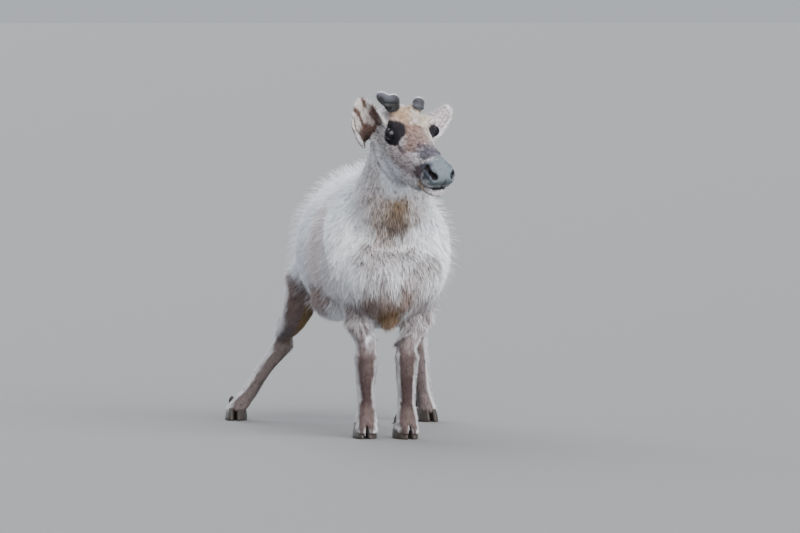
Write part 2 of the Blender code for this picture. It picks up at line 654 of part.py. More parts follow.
def build():
    """The whole animal: the flesh in its pieces, not yet named, and the solids set into it."""
    forms = [make_trunk(), make_neck(), make_tail(), make_chest_tuft(), *make_head()]
    for side, sign in SIDES.items():
        forms += [make_foreleg(side, sign), make_shoulder(side, sign), make_flank(side, sign)]
        forms += make_hindleg(side, sign)
    flesh = fuse(forms, FLESH_TRIANGLES, VOXEL)

    # Seats for what isn't flesh.
    eye = EYE_RADIUS + GAP
    for side, sign in SIDES.items():
        carve(flesh, ball("cutter_eye", on_head(EYE_AT[0], sign * EYE_AT[1], EYE_AT[2]),
                          (eye,) * 3, HEAD_AXES, segments=16, rings=10))
        carve(flesh, nostril_cutter(sign))
    carve(flesh, mouth_cutter())

    # Hooves and dewclaws.
    solids = []
    turns = {"fore_left": math.radians(6), "fore_right": math.radians(-6),
             "hind_left": math.radians(10), "hind_right": math.radians(-14)}
    floor_cut = bmesh.new()
    bmesh.ops.create_cube(floor_cut, size=1.0)
    for vert in floor_cut.verts:
        vert.co = Vector((vert.co.x * 2.0, vert.co.y * 3.0, vert.co.z * 0.1 + CORONET - 0.05))
    carve(flesh, add_mesh("cutter_floor", mesh_of(floor_cut, "cutter_floor")))
    for end, feet, scale in (("fore", FORE_FEET, 1.0), ("hind", HIND_FEET, 0.94)):
        for side in SIDES:
            foot, turn = feet[side], turns[f"{end}_{side}"]
            solids.append(make_hoof(f"hoof_{end}_{side}", foot, turn, scale))
            for place, sign in (("left", 1.0), ("right", -1.0)):
                name = f"dewclaw_{end}_{side}_{place}"
                carve(flesh, dewclaw_shape("cutter_dewclaw", foot, turn, sign, GAP))
                claw = dewclaw_shape(name, foot, turn, sign)
                claw.data.materials.append(HORN)
                solids.append(claw)
    for side, sign in SIDES.items():
        ear = make_ear(side, sign)
        carve(ear, grown(flesh, 1.5 * GAP))
        ear = max(part_loose(ear), key=lambda piece: len(piece.data.polygons))
        ear.name = ear.data.name = f"ear_{side}"
        ear.data.materials.append(COAT)
        solids.append(ear)
        bud = make_forked_bud(side, sign) if side == "right" else make_bud(side, sign)
        carve(flesh, grown(bud, GAP))
        bud.data.materials.append(VELVET)
        eyeball = make_eye(side, sign)
        eyeball.data.materials.append(EYE)
        solids += [bud, eyeball]

    # The cuts between the named pieces of the body.
    cuts = [
        (on_head(0.020, 0.0, -0.148), FACE * 0.50 + BROW * 0.866, 0.145),
        (Vector((0.0, -0.030, 0.735)), Vector((0.0, -0.60, 0.80)), 0.230),
        (Vector((0.0, BUTTOCK + 0.020, 0.650)), Vector((0.0, 0.86, -0.51)), 0.055),
    ]
    for side, sign in SIDES.items():
        fore, hock = FORE_FEET[side], HOCKS[side]
        stifle = Vector((sign * 0.150, hock.y - 0.205, 0.425))
        cuts += [
            (Vector((0.5 * (sign * 0.124 + fore.x), 0.018, 0.337)), Vector((-0.75 * sign, 0, 1)), 0.115),
            (Vector((fore.x, fore.y, CARPUS_HEIGHT)), Vector((0, 0, 1)), 0.060),
            (Vector((sign * 0.140, 0.620, 0.430)), Vector((-0.56 * sign, -0.50, 1.0)), 0.205),
            (hock + Vector((0, 0.006, 0)), (stifle - hock).normalized() + Vector((0, 0, 0.8)), 0.070),
        ]
    for centre, normal, radius in cuts:
        carve(flesh, disc(centre, normal.normalized(), radius))

    return part_loose(flesh), solids


def name_pieces(pieces):
    """Names each parted piece after the landmark near its middle."""
    marks = {"head": on_head(0.12, 0.0, -0.07), "neck": Vector((-0.006, -0.120, 0.870)),
             "trunk": Vector((0.0, 0.300, 0.560)), "tail": Vector((0.0, BUTTOCK + 0.050, 0.600))}
    for side in SIDES:
        fore, hind, hock = FORE_FEET[side], HIND_FEET[side], HOCKS[side]
        marks[f"foreleg_{side}_upper"] = fore + Vector((0.0, 0.0, CARPUS_HEIGHT + 0.050))
        marks[f"foreleg_{side}_lower"] = fore + Vector((0.0, 0.0, 0.5 * CARPUS_HEIGHT))
        marks[f"hindleg_{side}_upper"] = hock + Vector((0.0, -0.120, 0.120))
        marks[f"hindleg_{side}_lower"] = hind.lerp(hock, 0.5)
    for name, place in marks.items():
        piece = nearest_piece(pieces, place)
        piece.name = name
        pale = name in ("head", "neck", "trunk", "tail")
        piece.data.materials.clear()
        piece.data.materials.append(COAT if pale else LEG_COAT)
        piece.data.name = name


def stand_over_origin(things):
    """Moves the whole animal so that the middle of its bounding box is over the origin."""
    points = np.array([vert.co for thing in things for vert in thing.data.vertices])
    low, high = points.min(axis=0), points.max(axis=0)
    middle = Vector((0.5 * (low[0] + high[0]), 0.5 * (low[1] + high[1]), 0.0))
    for thing in things:
        thing.data.transform(Matrix.Translation(-middle))
    print("moved by", [round(-c, 5) for c in middle], "size", [round(float(s), 4) for s in high - low])


pieces, solids = build()
name_pieces(pieces)
stand_over_origin(pieces + solids)
for solid in pieces + solids:
    solid.data.shade_smooth()
    solid.data.set_sharp_from_angle(angle=math.radians(50.0))
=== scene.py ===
# %% [markdown]
# # A Svalbard reindeer in its moulting coat
# This lesson dresses a still, life-size model of a small Arctic reindeer. The solid parts come
# ready made, in metres, with the floor at zero, the nose towards -Y and the animal's left at +X.
# They are solid out to the tips of the fur. The lesson makes one skin that lies inside them, a
# coat of real tufts that grows from that skin, and then the eyes, antler buds and hooves.

# %% Load the solid parts
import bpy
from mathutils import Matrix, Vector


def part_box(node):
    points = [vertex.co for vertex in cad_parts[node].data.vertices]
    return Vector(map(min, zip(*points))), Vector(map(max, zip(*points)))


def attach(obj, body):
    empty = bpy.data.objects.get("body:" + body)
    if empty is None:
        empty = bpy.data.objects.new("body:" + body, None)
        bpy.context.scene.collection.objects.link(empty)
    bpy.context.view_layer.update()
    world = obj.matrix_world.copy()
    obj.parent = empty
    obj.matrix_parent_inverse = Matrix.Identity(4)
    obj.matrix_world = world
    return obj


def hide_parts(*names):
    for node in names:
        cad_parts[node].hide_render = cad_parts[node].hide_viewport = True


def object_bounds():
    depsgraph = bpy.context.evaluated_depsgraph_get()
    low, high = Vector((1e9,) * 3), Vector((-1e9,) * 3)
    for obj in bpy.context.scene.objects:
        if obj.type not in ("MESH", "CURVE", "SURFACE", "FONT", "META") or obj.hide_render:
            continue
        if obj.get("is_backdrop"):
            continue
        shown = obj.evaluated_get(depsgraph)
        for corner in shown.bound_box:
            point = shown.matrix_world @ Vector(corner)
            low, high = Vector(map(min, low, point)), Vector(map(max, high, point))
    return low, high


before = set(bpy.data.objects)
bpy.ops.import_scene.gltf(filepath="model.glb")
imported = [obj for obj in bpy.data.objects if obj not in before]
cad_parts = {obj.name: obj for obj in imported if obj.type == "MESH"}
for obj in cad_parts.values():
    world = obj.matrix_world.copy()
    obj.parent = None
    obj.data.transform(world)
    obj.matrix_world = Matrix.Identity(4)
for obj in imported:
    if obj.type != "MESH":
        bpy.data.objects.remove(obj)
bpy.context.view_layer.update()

# %% [markdown]
# A few small tools serve the whole lesson. NumPy works on all the points of a mesh at once, so
# they are read as rows of numbers, changed together and written back. `ramp` and `band` are soft
# steps: nearly everything on an animal fades into what lies beside it.

# %% Tools for the rest of the lesson
import math
import time

import bmesh
import bpy
import numpy as np
from mathutils import Matrix, Vector
from mathutils.bvhtree import BVHTree

STARTED = time.time()
SIDES = {"left": 1.0, "right": -1.0}


def say(*words):
    """Prints a message with the seconds since the start."""
    print(f"{time.time() - STARTED:6.1f} s ", *words)


def middle(node):
    """The middle of a solid part's box."""
    low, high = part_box(node)
    return 0.5 * (Vector(low) + Vector(high))


def unit(rows):
    """Rows of vectors, each made one long."""
    return rows / np.maximum(np.linalg.norm(rows, axis=1, keepdims=True), 1e-9)


def ease(share):
    """A soft step from 0 to 1."""
    share = np.clip(share, 0.0, 1.0)
    return share * share * (3.0 - 2.0 * share)


def ramp(values, start, width):
    """A soft step that begins at start. With a width below zero it rises as the values fall."""
    return ease((values - start) / width)


def band(values, centre, reach):
    """A soft stripe: 1 at the centre and 0 beyond the reach."""
    return ease(1.0 - np.abs(values - centre) / reach)


def near_spot(where, centre, radii, edge=0.5):
    """How much each row belongs to a soft round patch, from 0 to 1."""
    gap = np.linalg.norm((where - np.array(centre)) / np.array(radii), axis=1)
    return ease((1.0 + edge - gap) / (2.0 * edge))


def vectors(items, field):
    """One vector of each item of a mesh, as rows."""
    found = np.empty(len(items) * 3, np.float32)
    items.foreach_get(field, found)
    return found.reshape(-1, 3).astype(float)


def positions(mesh):
    """The places of a mesh's points."""
    return vectors(mesh.vertices, "co")


def normals(mesh):
    """The outward direction at each of a mesh's points."""
    return vectors(mesh.vertex_normals, "vector")


def place_points(mesh, rows):
    """Moves a mesh's points to new places."""
    mesh.vertices.foreach_set("co", np.asarray(rows, np.float32).ravel())
    mesh.update()


def new_object(name, data):
    """Puts a mesh, a lamp or a camera in the scene."""
    thing = bpy.data.objects.new(name, data)
    bpy.context.scene.collection.objects.link(thing)
    return thing


def made_plain(thing):
    """A plain mesh of an object with its modifiers applied."""
    graph = bpy.context.evaluated_depsgraph_get()
    return bpy.data.meshes.new_from_object(thing.evaluated_get(graph))


# %% [markdown]
# A head is easiest to model on its own axes: along the face from the crown to the nose, out to
# the animal's left, and up off the brow. The solid eyes say where the head is. The body's own
# origin is on the floor between the forefeet.

# %% The head's axes and the body's origin
HEAD_TURN, HEAD_PITCH, HEAD_ROLL = (math.radians(angle) for angle in (20.0, 40.0, 4.0))
EYE_ALONG, EYE_OUT, EYE_UP = 0.086, 0.0710, -0.040
EYE_RADIUS = 0.0180
CROWN_FROM_FEET = Vector((-0.002, -0.240, 1.008))

FACE = Vector((math.sin(HEAD_TURN) * math.cos(HEAD_PITCH),
               -math.cos(HEAD_TURN) * math.cos(HEAD_PITCH), -math.sin(HEAD_PITCH)))
LEVEL = Vector((math.cos(HEAD_TURN), math.sin(HEAD_TURN), 0.0))
OUT = Matrix.Rotation(HEAD_ROLL, 3, FACE) @ LEVEL
BROW = FACE.cross(OUT).normalized()
CROWN = 0.5 * (middle("eye_left") + middle("eye_right")) - FACE * EYE_ALONG - BROW * EYE_UP
FEET = CROWN - CROWN_FROM_FEET
HEAD_AXES = np.array([FACE, OUT, BROW])


def on_head(along, out, up):
    """The world point at a place on the head."""
    return CROWN + FACE * along + OUT * out + BROW * up


def head_places(rows):
    """World points as (along the face, out to the left, up off the brow)."""
    return (rows - np.array(CROWN)) @ HEAD_AXES.T


print("the crown of the head is at", [round(c, 3) for c in CROWN])

# %% [markdown]
# ## Camera, floor and light
# The picture was taken with a long lens, low down and a little to the animal's right, so the
# camera stands far off and sees a narrow field. The floor and the surroundings are plain and pale.
# Soft distant light comes from the front and from behind, as under a bright, overcast sky, and
# the light from behind gives the pale rim along the back; along the legs that rim is painted in as well.

# %% Camera
CAMERA_AZIMUTH, CAMERA_ELEVATION = math.radians(-11.0), math.radians(2.5)
CAMERA_DISTANCE = 18.0
VIEW_WIDTH = 2.40
AIM_ASIDE, AIM_UP = 0.0315, 0.5145

away = Vector((math.sin(CAMERA_AZIMUTH) * math.cos(CAMERA_ELEVATION),
               -math.cos(CAMERA_AZIMUTH) * math.cos(CAMERA_ELEVATION),
               math.sin(CAMERA_ELEVATION)))
picture_right = Vector((math.cos(CAMERA_AZIMUTH), math.sin(CAMERA_AZIMUTH), 0.0))
picture_up = away.cross(picture_right)
aim = FEET + picture_right * AIM_ASIDE + picture_up * AIM_UP

camera = new_object("camera", bpy.data.cameras.new("camera"))
camera.data.sensor_width = 36.0
camera.data.lens = camera.data.sensor_width * CAMERA_DISTANCE / VIEW_WIDTH
camera.data.clip_end = 1200.0
camera.location = aim + away * CAMERA_DISTANCE
camera.rotation_euler = away.to_track_quat("Z", "Y").to_euler()
bpy.context.scene.camera = camera
print("the lens is", round(camera.data.lens), "mm")

# %% [markdown]
# The floor is one wide grey sheet that reaches the horizon. The two lamps are suns with a wide
# angle, which makes their light as soft as that of a bright patch of sky.

# %% Floor and light
REACH = 400.0
CORNERS = [(-REACH, -REACH, 0), (REACH, -REACH, 0), (REACH, REACH, 0), (-REACH, REACH, 0)]

floor_mesh = bpy.data.meshes.new("floor")
floor_mesh.from_pydata(CORNERS, [], [(0, 1, 2, 3)])
floor = new_object("floor", floor_mesh)
floor_finish = bpy.data.materials.new("floor")
floor_finish.use_nodes = True
floor_inputs = floor_finish.node_tree.nodes["Principled BSDF"].inputs
floor_inputs["Base Color"].default_value = (0.142, 0.144, 0.148, 1)
floor_inputs["Roughness"].default_value = 0.95
floor_mesh.materials.append(floor_finish)
floor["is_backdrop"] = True

world = bpy.data.worlds.new("studio")
bpy.context.scene.world = world
world.use_nodes = True
world_inputs = world.node_tree.nodes["Background"].inputs
world_inputs["Color"].default_value = (0.66, 0.69, 0.75, 1)
world_inputs["Strength"].default_value = 0.76


def add_sun(name, towards_sun, strength, colour, angle):
    """A distant lamp. The wider its angle in degrees, the softer its light."""
    lamp = bpy.data.lights.new(name, "SUN")
    lamp.energy = strength
    lamp.color = colour
    lamp.angle = math.radians(angle)
    new_object(name, lamp).rotation_euler = Vector(towards_sun).to_track_quat("Z", "Y").to_euler()


add_sun("sky_front", (0.30, -1.00, 0.60), 9.4, (1.0, 0.985, 0.96), 70.0)
add_sun("sky_back", (-0.30, 1.00, 0.75), 3.9, (0.92, 0.96, 1.0), 60.0)
print("the floor is", round(2 * REACH), "m wide, and two lamps light it")

# %% [markdown]
# ## One skin
# In life one skin runs from the nose to the hooves, so the solid flesh parts are pressed into one
# closed surface. A voxel remesh does that: it wraps everything in small, even faces, as if it
# were dipped. The eyes, buds, dewclaws and hooves go in too, a little shrunk, so the skin closes
# behind each of them and leaves no gap round its edge.

# %% Wrap the flesh in one surface
FLESH = ["head", "neck", "trunk", "tail", "ear_left", "ear_right"]
FLESH += [f"{leg}_{side}_{part}" for leg in ("foreleg", "hindleg") for side in SIDES
          for part in ("upper", "lower")]
HORNY = [f"hoof_{end}_{side}" for end in ("fore", "hind") for side in SIDES]
CLAWS = [f"dewclaw_{end}_{side}_{place}" for end in ("fore", "hind") for side in SIDES
         for place in SIDES]
EYES = [f"eye_{side}" for side in SIDES]
BUDS = [f"antler_bud_{side}" for side in SIDES]

SEAM_CLOSE = 0.0005
CORE_SHRINK = -0.0030
SKIN_VOXEL = 0.0030


def welded(node, push):
    """A copy of a solid part with its loose triangles joined, and swollen or shrunk a little."""
    shape = bmesh.new()
    shape.from_mesh(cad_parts[node].data)
    bmesh.ops.remove_doubles(shape, verts=shape.verts, dist=1e-5)
    shape.normal_update()
    moved = [vert.co + vert.normal * push for vert in shape.verts]
    for vert, place in zip(shape.verts, moved):
        vert.co = place
    return shape


def gathered(parts):
    """One mesh with a copy of each of several (part, push) pairs."""
    whole = bmesh.new()
    for node, push in parts:
        one = welded(node, push)
        spare = bpy.data.meshes.new("spare")
        one.to_mesh(spare)
        one.free()
        whole.from_mesh(spare)
        bpy.data.meshes.remove(spare)
    mesh = bpy.data.meshes.new("gathered")
    whole.to_mesh(mesh)
    whole.free()
    return mesh


def voxel_wrapped(mesh, voxel):
    """The mesh of even faces that a voxel remesh wraps round another mesh."""
    thing = new_object("wrap", mesh)
    wrap = thing.modifiers.new("Wrap", "REMESH")
    wrap.mode = "VOXEL"
    wrap.voxel_size = voxel
    result = made_plain(thing)
    bpy.data.objects.remove(thing)
    return result


skin_mesh = voxel_wrapped(gathered([(node, SEAM_CLOSE) for node in FLESH]
                                   + [(node, CORE_SHRINK) for node in HORNY + CLAWS + EYES + BUDS]),
                          SKIN_VOXEL)
say("the skin has", len(skin_mesh.polygons), "faces")

# %% [markdown]
# Work on a skin often needs a value at each point that depends on the body part it belongs to
# and then fades softly into the next part. A nearest-surface search gives each point its part,
# and averaging over neighbours gives the fade.

# %% Which part each point belongs to
def solid_tree(nodes):
    """A search tree of several solid parts, and for each of its faces its part's number."""
    points, faces, numbers = [], [], []
    for number, node in enumerate(nodes):
        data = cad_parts[node].data
        faces += [[len(points) + corner for corner in face.vertices] for face in data.polygons]
        points += [vert.co.copy() for vert in data.vertices]
        numbers += [number] * len(data.polygons)
    return BVHTree.FromPolygons(points, faces), numbers


FLESH_TREE, PART_OF_FACE = solid_tree(FLESH)


def parts_at(rows):
    """The number in FLESH of the part nearest each point."""
    return np.array([PART_OF_FACE[FLESH_TREE.find_nearest(row)[2]] for row in rows.tolist()])


def buried(rows, nodes):
    """Says which points lie inside any of several solid parts."""
    tree = solid_tree(nodes)[0]
    hits = [tree.find_nearest(row, 0.03) for row in rows.tolist()]
    return np.array([bool(spot) and (Vector(row) - spot).dot(normal) < 0.0
                     for row, (spot, normal, _, _) in zip(rows.tolist(), hits)])


def by_part(parts, table, usual):
    """One value for each point, looked up by its part's name."""
    values = np.array([table.get(node, usual) for node in FLESH], float)
    return values[parts]


def edges_of(mesh):
    """The pairs of points that a mesh's edges join."""
    pairs = np.empty(len(mesh.edges) * 2, np.int32)
    mesh.edges.foreach_get("vertices", pairs)
    return pairs.reshape(-1, 2)


def spread(values, pairs, rounds):
    """Averages values over neighbouring points, several times."""
    values = np.array(values, float)
    flat = values.reshape(len(values), -1)
    one, two = pairs[:, 0], pairs[:, 1]
    count = np.bincount(pairs.ravel(), minlength=len(flat)).astype(float)
    for _ in range(rounds):
        for column in range(flat.shape[1]):
            line = flat[:, column]
            total = (np.bincount(one, line[two], len(line)) + np.bincount(two, line[one], len(line)))
            flat[:, column] = 0.5 * line + 0.5 * total / np.maximum(count, 1.0)
    return flat.reshape(values.shape)


skin_parts = parts_at(positions(skin_mesh))
skin_pairs = edges_of(skin_mesh)
say("each skin point knows its part")

# %% [markdown]
# The solids are faceted, so the trunk and neck are smoothed a lot and the head and legs only a
# little. Then the skin sinks by the depth of the coat. Winter fur stands about 20 mm deep on the
# trunk, but only a few millimetres on the face and legs.

# %% Smooth the skin and sink it by the coat's depth
LEG_PARTS = [node for node in FLESH if "leg" in node]
SMOOTHING = {"head": 0.16, "ear_left": 0.06, "ear_right": 0.06, "tail": 0.3}
SMOOTHING.update({node: 0.30 if "upper" in node else 0.16 for node in LEG_PARTS})
COAT_DEPTH = {"trunk": 0.020, "neck": 0.016, "head": 0.0045, "tail": 0.010,
              "ear_left": 0.0012, "ear_right": 0.0012}
COAT_DEPTH.update({node: 0.0085 if "upper" in node else 0.0030 for node in LEG_PARTS})
HOOF_TOP = 0.040
SMOOTH_ROUNDS = 60
UNDER_JAW_SMOOTHING = 0.9


def coat_depth(rows, parts, pairs):
    """How deep the coat is over each point of a skin."""
    deep = spread(by_part(parts, COAT_DEPTH, 0.02), pairs, 24)
    deep *= ramp(rows[:, 2], HOOF_TOP, 0.030)
    on_muzzle = ramp(head_places(rows)[:, 0], 0.190, 0.070) * (parts == FLESH.index("head"))
    return deep * (1.0 - 0.70 * on_muzzle)


amount = spread(by_part(skin_parts, SMOOTHING, 1.0), skin_pairs, 12)
rows = positions(skin_mesh)
below_jaw = near_spot(head_places(rows), (0.085, 0.0, -0.200), (0.110, 0.11, 0.055))
amount = np.maximum(amount, UNDER_JAW_SMOOTHING * below_jaw)
for turn in range(SMOOTH_ROUNDS):
    share = np.clip(amount * SMOOTH_ROUNDS - turn, 0.0, 1.0)[:, None]
    rows = rows + share * (spread(rows, skin_pairs, 1) - rows)
place_points(skin_mesh, rows)

depth = coat_depth(rows, skin_parts, skin_pairs)
outward = spread(normals(skin_mesh), skin_pairs, 6)
place_points(skin_mesh, rows - unit(outward) * depth[:, None])
say("the skin lies", round(float(depth.max()) * 1000), "mm inside the trunk's outline")

# %% [markdown]
# Most of the trunk's small faces lie hidden under the coat, so they are merged into larger ones.
# The Decimate modifier does that, and a vertex group keeps it off the head and ears.

# %% Thin the hidden faces
SKIN_TRIANGLES = 98000


def thinned(mesh, triangles, freely):
    """A lighter copy of a mesh. Points with freely at 0 keep their faces."""
    thing = new_object("thin", mesh)
    group = thing.vertex_groups.new(name="freely")
    for level in np.unique(np.round(freely, 1)):
        chosen = np.nonzero(np.round(freely, 1) == level)[0].tolist()
        group.add(chosen, float(level), "REPLACE")
    thin = thing.modifiers.new("Thin", "DECIMATE")
    thin.ratio = triangles / (2 * len(mesh.polygons))
    thin.use_collapse_triangulate = True
    thin.vertex_group = "freely"
    thin.vertex_group_factor = 1.0
    result = made_plain(thing)
    bpy.data.objects.remove(thing)
    return result


HEAD_PARTS = ("head", "ear_left", "ear_right")
freely = 1.0 - by_part(skin_parts, {node: 1.0 for node in HEAD_PARTS}, 0.0)
skin_mesh = thinned(skin_mesh, SKIN_TRIANGLES, freely)
say("the thinned skin has", len(skin_mesh.polygons), "triangles")

# %% [markdown]
# ## Sculpting the head
# The head needs smaller faces where its forms are small: round the eyes, the nostrils and the
# mouth. Subdividing only the edges there gives detail without making the whole skin heavy.

# %% Add faces where the head's forms are small
EYE_PLACES = {side: (EYE_ALONG, EYE_OUT * sign, EYE_UP) for side, sign in SIDES.items()}
NOSTRIL_ALONG, NOSTRIL_OUT, NOSTRIL_UP = 0.287, 0.030, -0.021
FINE_SPOTS = [(place, 0.031) for place in EYE_PLACES.values()] * 2
FINE_SPOTS += [((NOSTRIL_ALONG - 0.005, NOSTRIL_OUT * sign, NOSTRIL_UP), 0.026)
               for sign in SIDES.values()]
FINE_SPOTS += [((0.295, 0.0, -0.075), 0.045)]


def halve(shape, edges):
    """Puts a new point in the middle of each of several edges."""
    bmesh.ops.subdivide_edges(shape, edges=edges, cuts=1, use_grid_fill=True, smooth=0.0)


def write_back(shape, mesh, corners):
    """Cuts faces with more than so many corners into triangles and puts the shape in the mesh."""
    bmesh.ops.triangulate(shape, faces=[face for face in shape.faces if len(face.verts) > corners])
    shape.to_mesh(mesh)
    shape.free()
    mesh.update()


shape = bmesh.new()
shape.from_mesh(skin_mesh)
for place, reach in FINE_SPOTS:
    spot = on_head(*place)
    halve(shape, [edge for edge in shape.edges
                  if all((vert.co - spot).length < reach for vert in edge.verts)])
write_back(shape, skin_mesh, 4)
say("with fine spots the skin has", len(skin_mesh.polygons), "faces")

# %% [markdown]
# An eyeball shows only through the slit between its lids. The skin is pushed behind the ball
# inside an oval, and laid just over the ball outside that oval, so a lid with a real edge forms.
# A shallow crease above the lid, a low brow over the crease and a slight bag below frame the eye.

# %% Open the eyelids
LID_LONG, LID_HIGH = 0.0150, 0.0121
LID_THICK = 0.0013
BEHIND = -0.0026
LID_SLANT = math.radians(14.0)
CREASE_DEPTH, BROW_RISE, BAG_RISE = 0.0011, 0.0022, 0.0009
FAR_FROM_EYE = 9.0


def eye_frame(side):
    """The eye's centre, the way it looks, its long way and its upward way, on the head's axes."""
    centre = np.array(EYE_PLACES[side])
    look = unit(np.array([[0.30, SIDES[side] * 0.93, 0.20]]))[0]
    long_way = np.array([math.cos(LID_SLANT), 0.0, -math.sin(LID_SLANT)])
    long_way = unit((long_way - look * (long_way @ look))[None])[0]
    rise_way = np.cross(long_way, look) * SIDES[side]
    return centre, look, long_way, rise_way


def lid_ring(places, side):
    """How many lid openings each place is from an eye's middle, its distance, and its rise."""
    centre, look, long_way, rise_way = eye_frame(side)
    offset = places - centre
    distance = np.linalg.norm(offset, axis=1)
    ring = np.hypot((offset @ long_way) / LID_LONG, (offset @ rise_way) / LID_HIGH)
    ring = np.where(offset @ look > 0.0, ring, FAR_FROM_EYE)
    return np.where(distance < 3.0 * EYE_RADIUS, ring, FAR_FROM_EYE), distance, offset @ rise_way


places = head_places(positions(skin_mesh))
for side in SIDES:
    centre = eye_frame(side)[0]
    ring, distance, above = lid_ring(places, side)
    lid = EYE_RADIUS + BEHIND + (LID_THICK - BEHIND) * ramp(ring, 0.93, 0.17)
    cover = np.maximum(distance, EYE_RADIUS + LID_THICK * ramp(ring, 3.0, -1.5))
    target = np.where(ring < 1.1, lid, cover)
    upper = ramp(above, 0.002, 0.008)
    target -= CREASE_DEPTH * upper * band(ring, 1.55, 0.22)
    target += BROW_RISE * upper * band(ring, 2.15, 0.60)
    target += BAG_RISE * (1.0 - upper) * band(ring, 1.35, 0.35)
    near = ring < 3.2
    offset = places - centre
    places[near] = (centre + offset * (target / np.maximum(distance, 1e-6))[:, None])[near]
place_points(skin_mesh, np.array(CROWN) + places @ HEAD_AXES)
say("the eyelids are open")

# %% [markdown]
# A reindeer's muzzle is broad and blunt, wider than the face behind it, and its lips sit high over
# a deep chin. Moving the points on the head's own axes, by amounts that fade out softly, makes
# these forms. The three names below are views into the table of places, so a change to one moves
# the points.

# %% Broaden the muzzle and lift the lips
places = head_places(positions(skin_mesh))
along, out, up = places.T
on_muzzle = ramp(along, 0.228, 0.045) * (np.linalg.norm(places - (0.28, 0.0, -0.05), axis=1) < 0.14)
out *= 1.0 + 0.13 * on_muzzle
along += 0.005 * on_muzzle * ramp(up, -0.075, 0.03)
up += 0.004 * near_spot(places, (0.280, 0.0, -0.010), (0.045, 0.05, 0.030), 0.6)
up += 0.007 * near_spot(places, (0.212, 0.0, -0.010), (0.055, 0.05, 0.030), 0.7)
out *= 1.0 + 0.07 * near_spot(places, (0.200, 0.0, -0.030), (0.060, 0.07, 0.050), 0.6)
along += 0.017 * near_spot(places, (0.300, 0.0, -0.102), (0.055, 0.06, 0.034))
up += 0.011 * ramp(along, 0.205, 0.05) * ramp(up, -0.052, -0.028)
up += 0.005 * ramp(along, 0.275, 0.03) * ramp(up, -0.058, -0.014)
on_chin = ramp(along, 0.225, 0.04) * (np.linalg.norm(places - (0.28, 0.0, -0.09), axis=1) < 0.09)
up += 0.34 * on_chin * np.maximum(-0.0745 - up, 0.0)
place_points(skin_mesh, np.array(CROWN) + places @ HEAD_AXES)
say("the muzzle is broad")

# %% [markdown]
# A nostril is a comma that runs down and inwards over the front of the muzzle, with a soft wing
# round it. Pressing the skin in along a short line makes the comma, and the skin that rises a
# little beside the line makes the wing. The same cell draws the lobe under the right ear a
# centimetre in towards the head.

# %% Press in the nostrils
COMMA = ((0.262, 0.0365, -0.0180), (0.282, 0.0340, -0.0175), (0.303, 0.0262, -0.0225))
COMMA_REACH, COMMA_DEPTH, WING_RISE = 0.0100, 0.0075, 0.0018
EAR_LOBE, LOBE_REACH, LOBE_SHIFT = (0.034, -0.140, -0.115), (0.035, 0.035, 0.035), 0.010


def comma_gap(places):
    """How far each place is from the nearer nostril's line. The nostril's edge is at 1."""
    gap = np.full(len(places), np.inf)
    for sign in SIDES.values():
        line = np.array(COMMA) * (1.0, sign, 1.0)
        for start, end in zip(line[:-1], line[1:]):
            way = end - start
            share = np.clip((places - start) @ way / (way @ way), 0.0, 1.0)
            gap = np.minimum(gap, np.linalg.norm(places - start - share[:, None] * way, axis=1))
    return gap / COMMA_REACH


rows = positions(skin_mesh)
places = head_places(rows)
smooth_out = unit(spread(normals(skin_mesh), edges_of(skin_mesh), 8))
rows += np.array(OUT) * (LOBE_SHIFT * near_spot(places, EAR_LOBE, LOBE_REACH, 0.6))[:, None]
gap = comma_gap(places)
press = WING_RISE * band(gap, 1.35, 0.6) - COMMA_DEPTH * ease(1.0 - gap)
rows += smooth_out * (press * (gap < 2.2))[:, None]
place_points(skin_mesh, rows)
say("the nostrils are pressed in")

# %% [markdown]
# The face's markings are finer than its skin. Halving those edges of the head and ears that are
# longer than a few millimetres gives every small patch the points that it needs.

# %% Make the head's skin finer
FINE_EDGE = 0.0036
in_head = by_part(parts_at(rows), {node: 1.0 for node in HEAD_PARTS}, 0.0) > 0.5
shape = bmesh.new()
shape.from_mesh(skin_mesh)
halve(shape, [edge for edge in shape.edges if edge.calc_length() > FINE_EDGE
              and all(in_head[vert.index] for vert in edge.verts)])
write_back(shape, skin_mesh, 3)
say("the finer skin has", len(skin_mesh.polygons), "faces")

# %% [markdown]
# ## What grows where
# Fur differs from place to place: its length, how far it stands off, how broad its locks are, and
# the way it lies. Each of these is stored on the skin's points as a named attribute. The tufts
# read them later, so the coat follows one plan.

# %% The lines that the fur follows
BODY = np.array(FEET)


def on_body(x, y, z):
    """The world point at a place measured from the floor between the forefeet."""
    return tuple(BODY + np.array((x, y, z)))


def head_way(out, up, along):
    """A direction given on the head's axes, as a world vector."""
    return np.array((OUT * out + BROW * up + FACE * along).normalized())


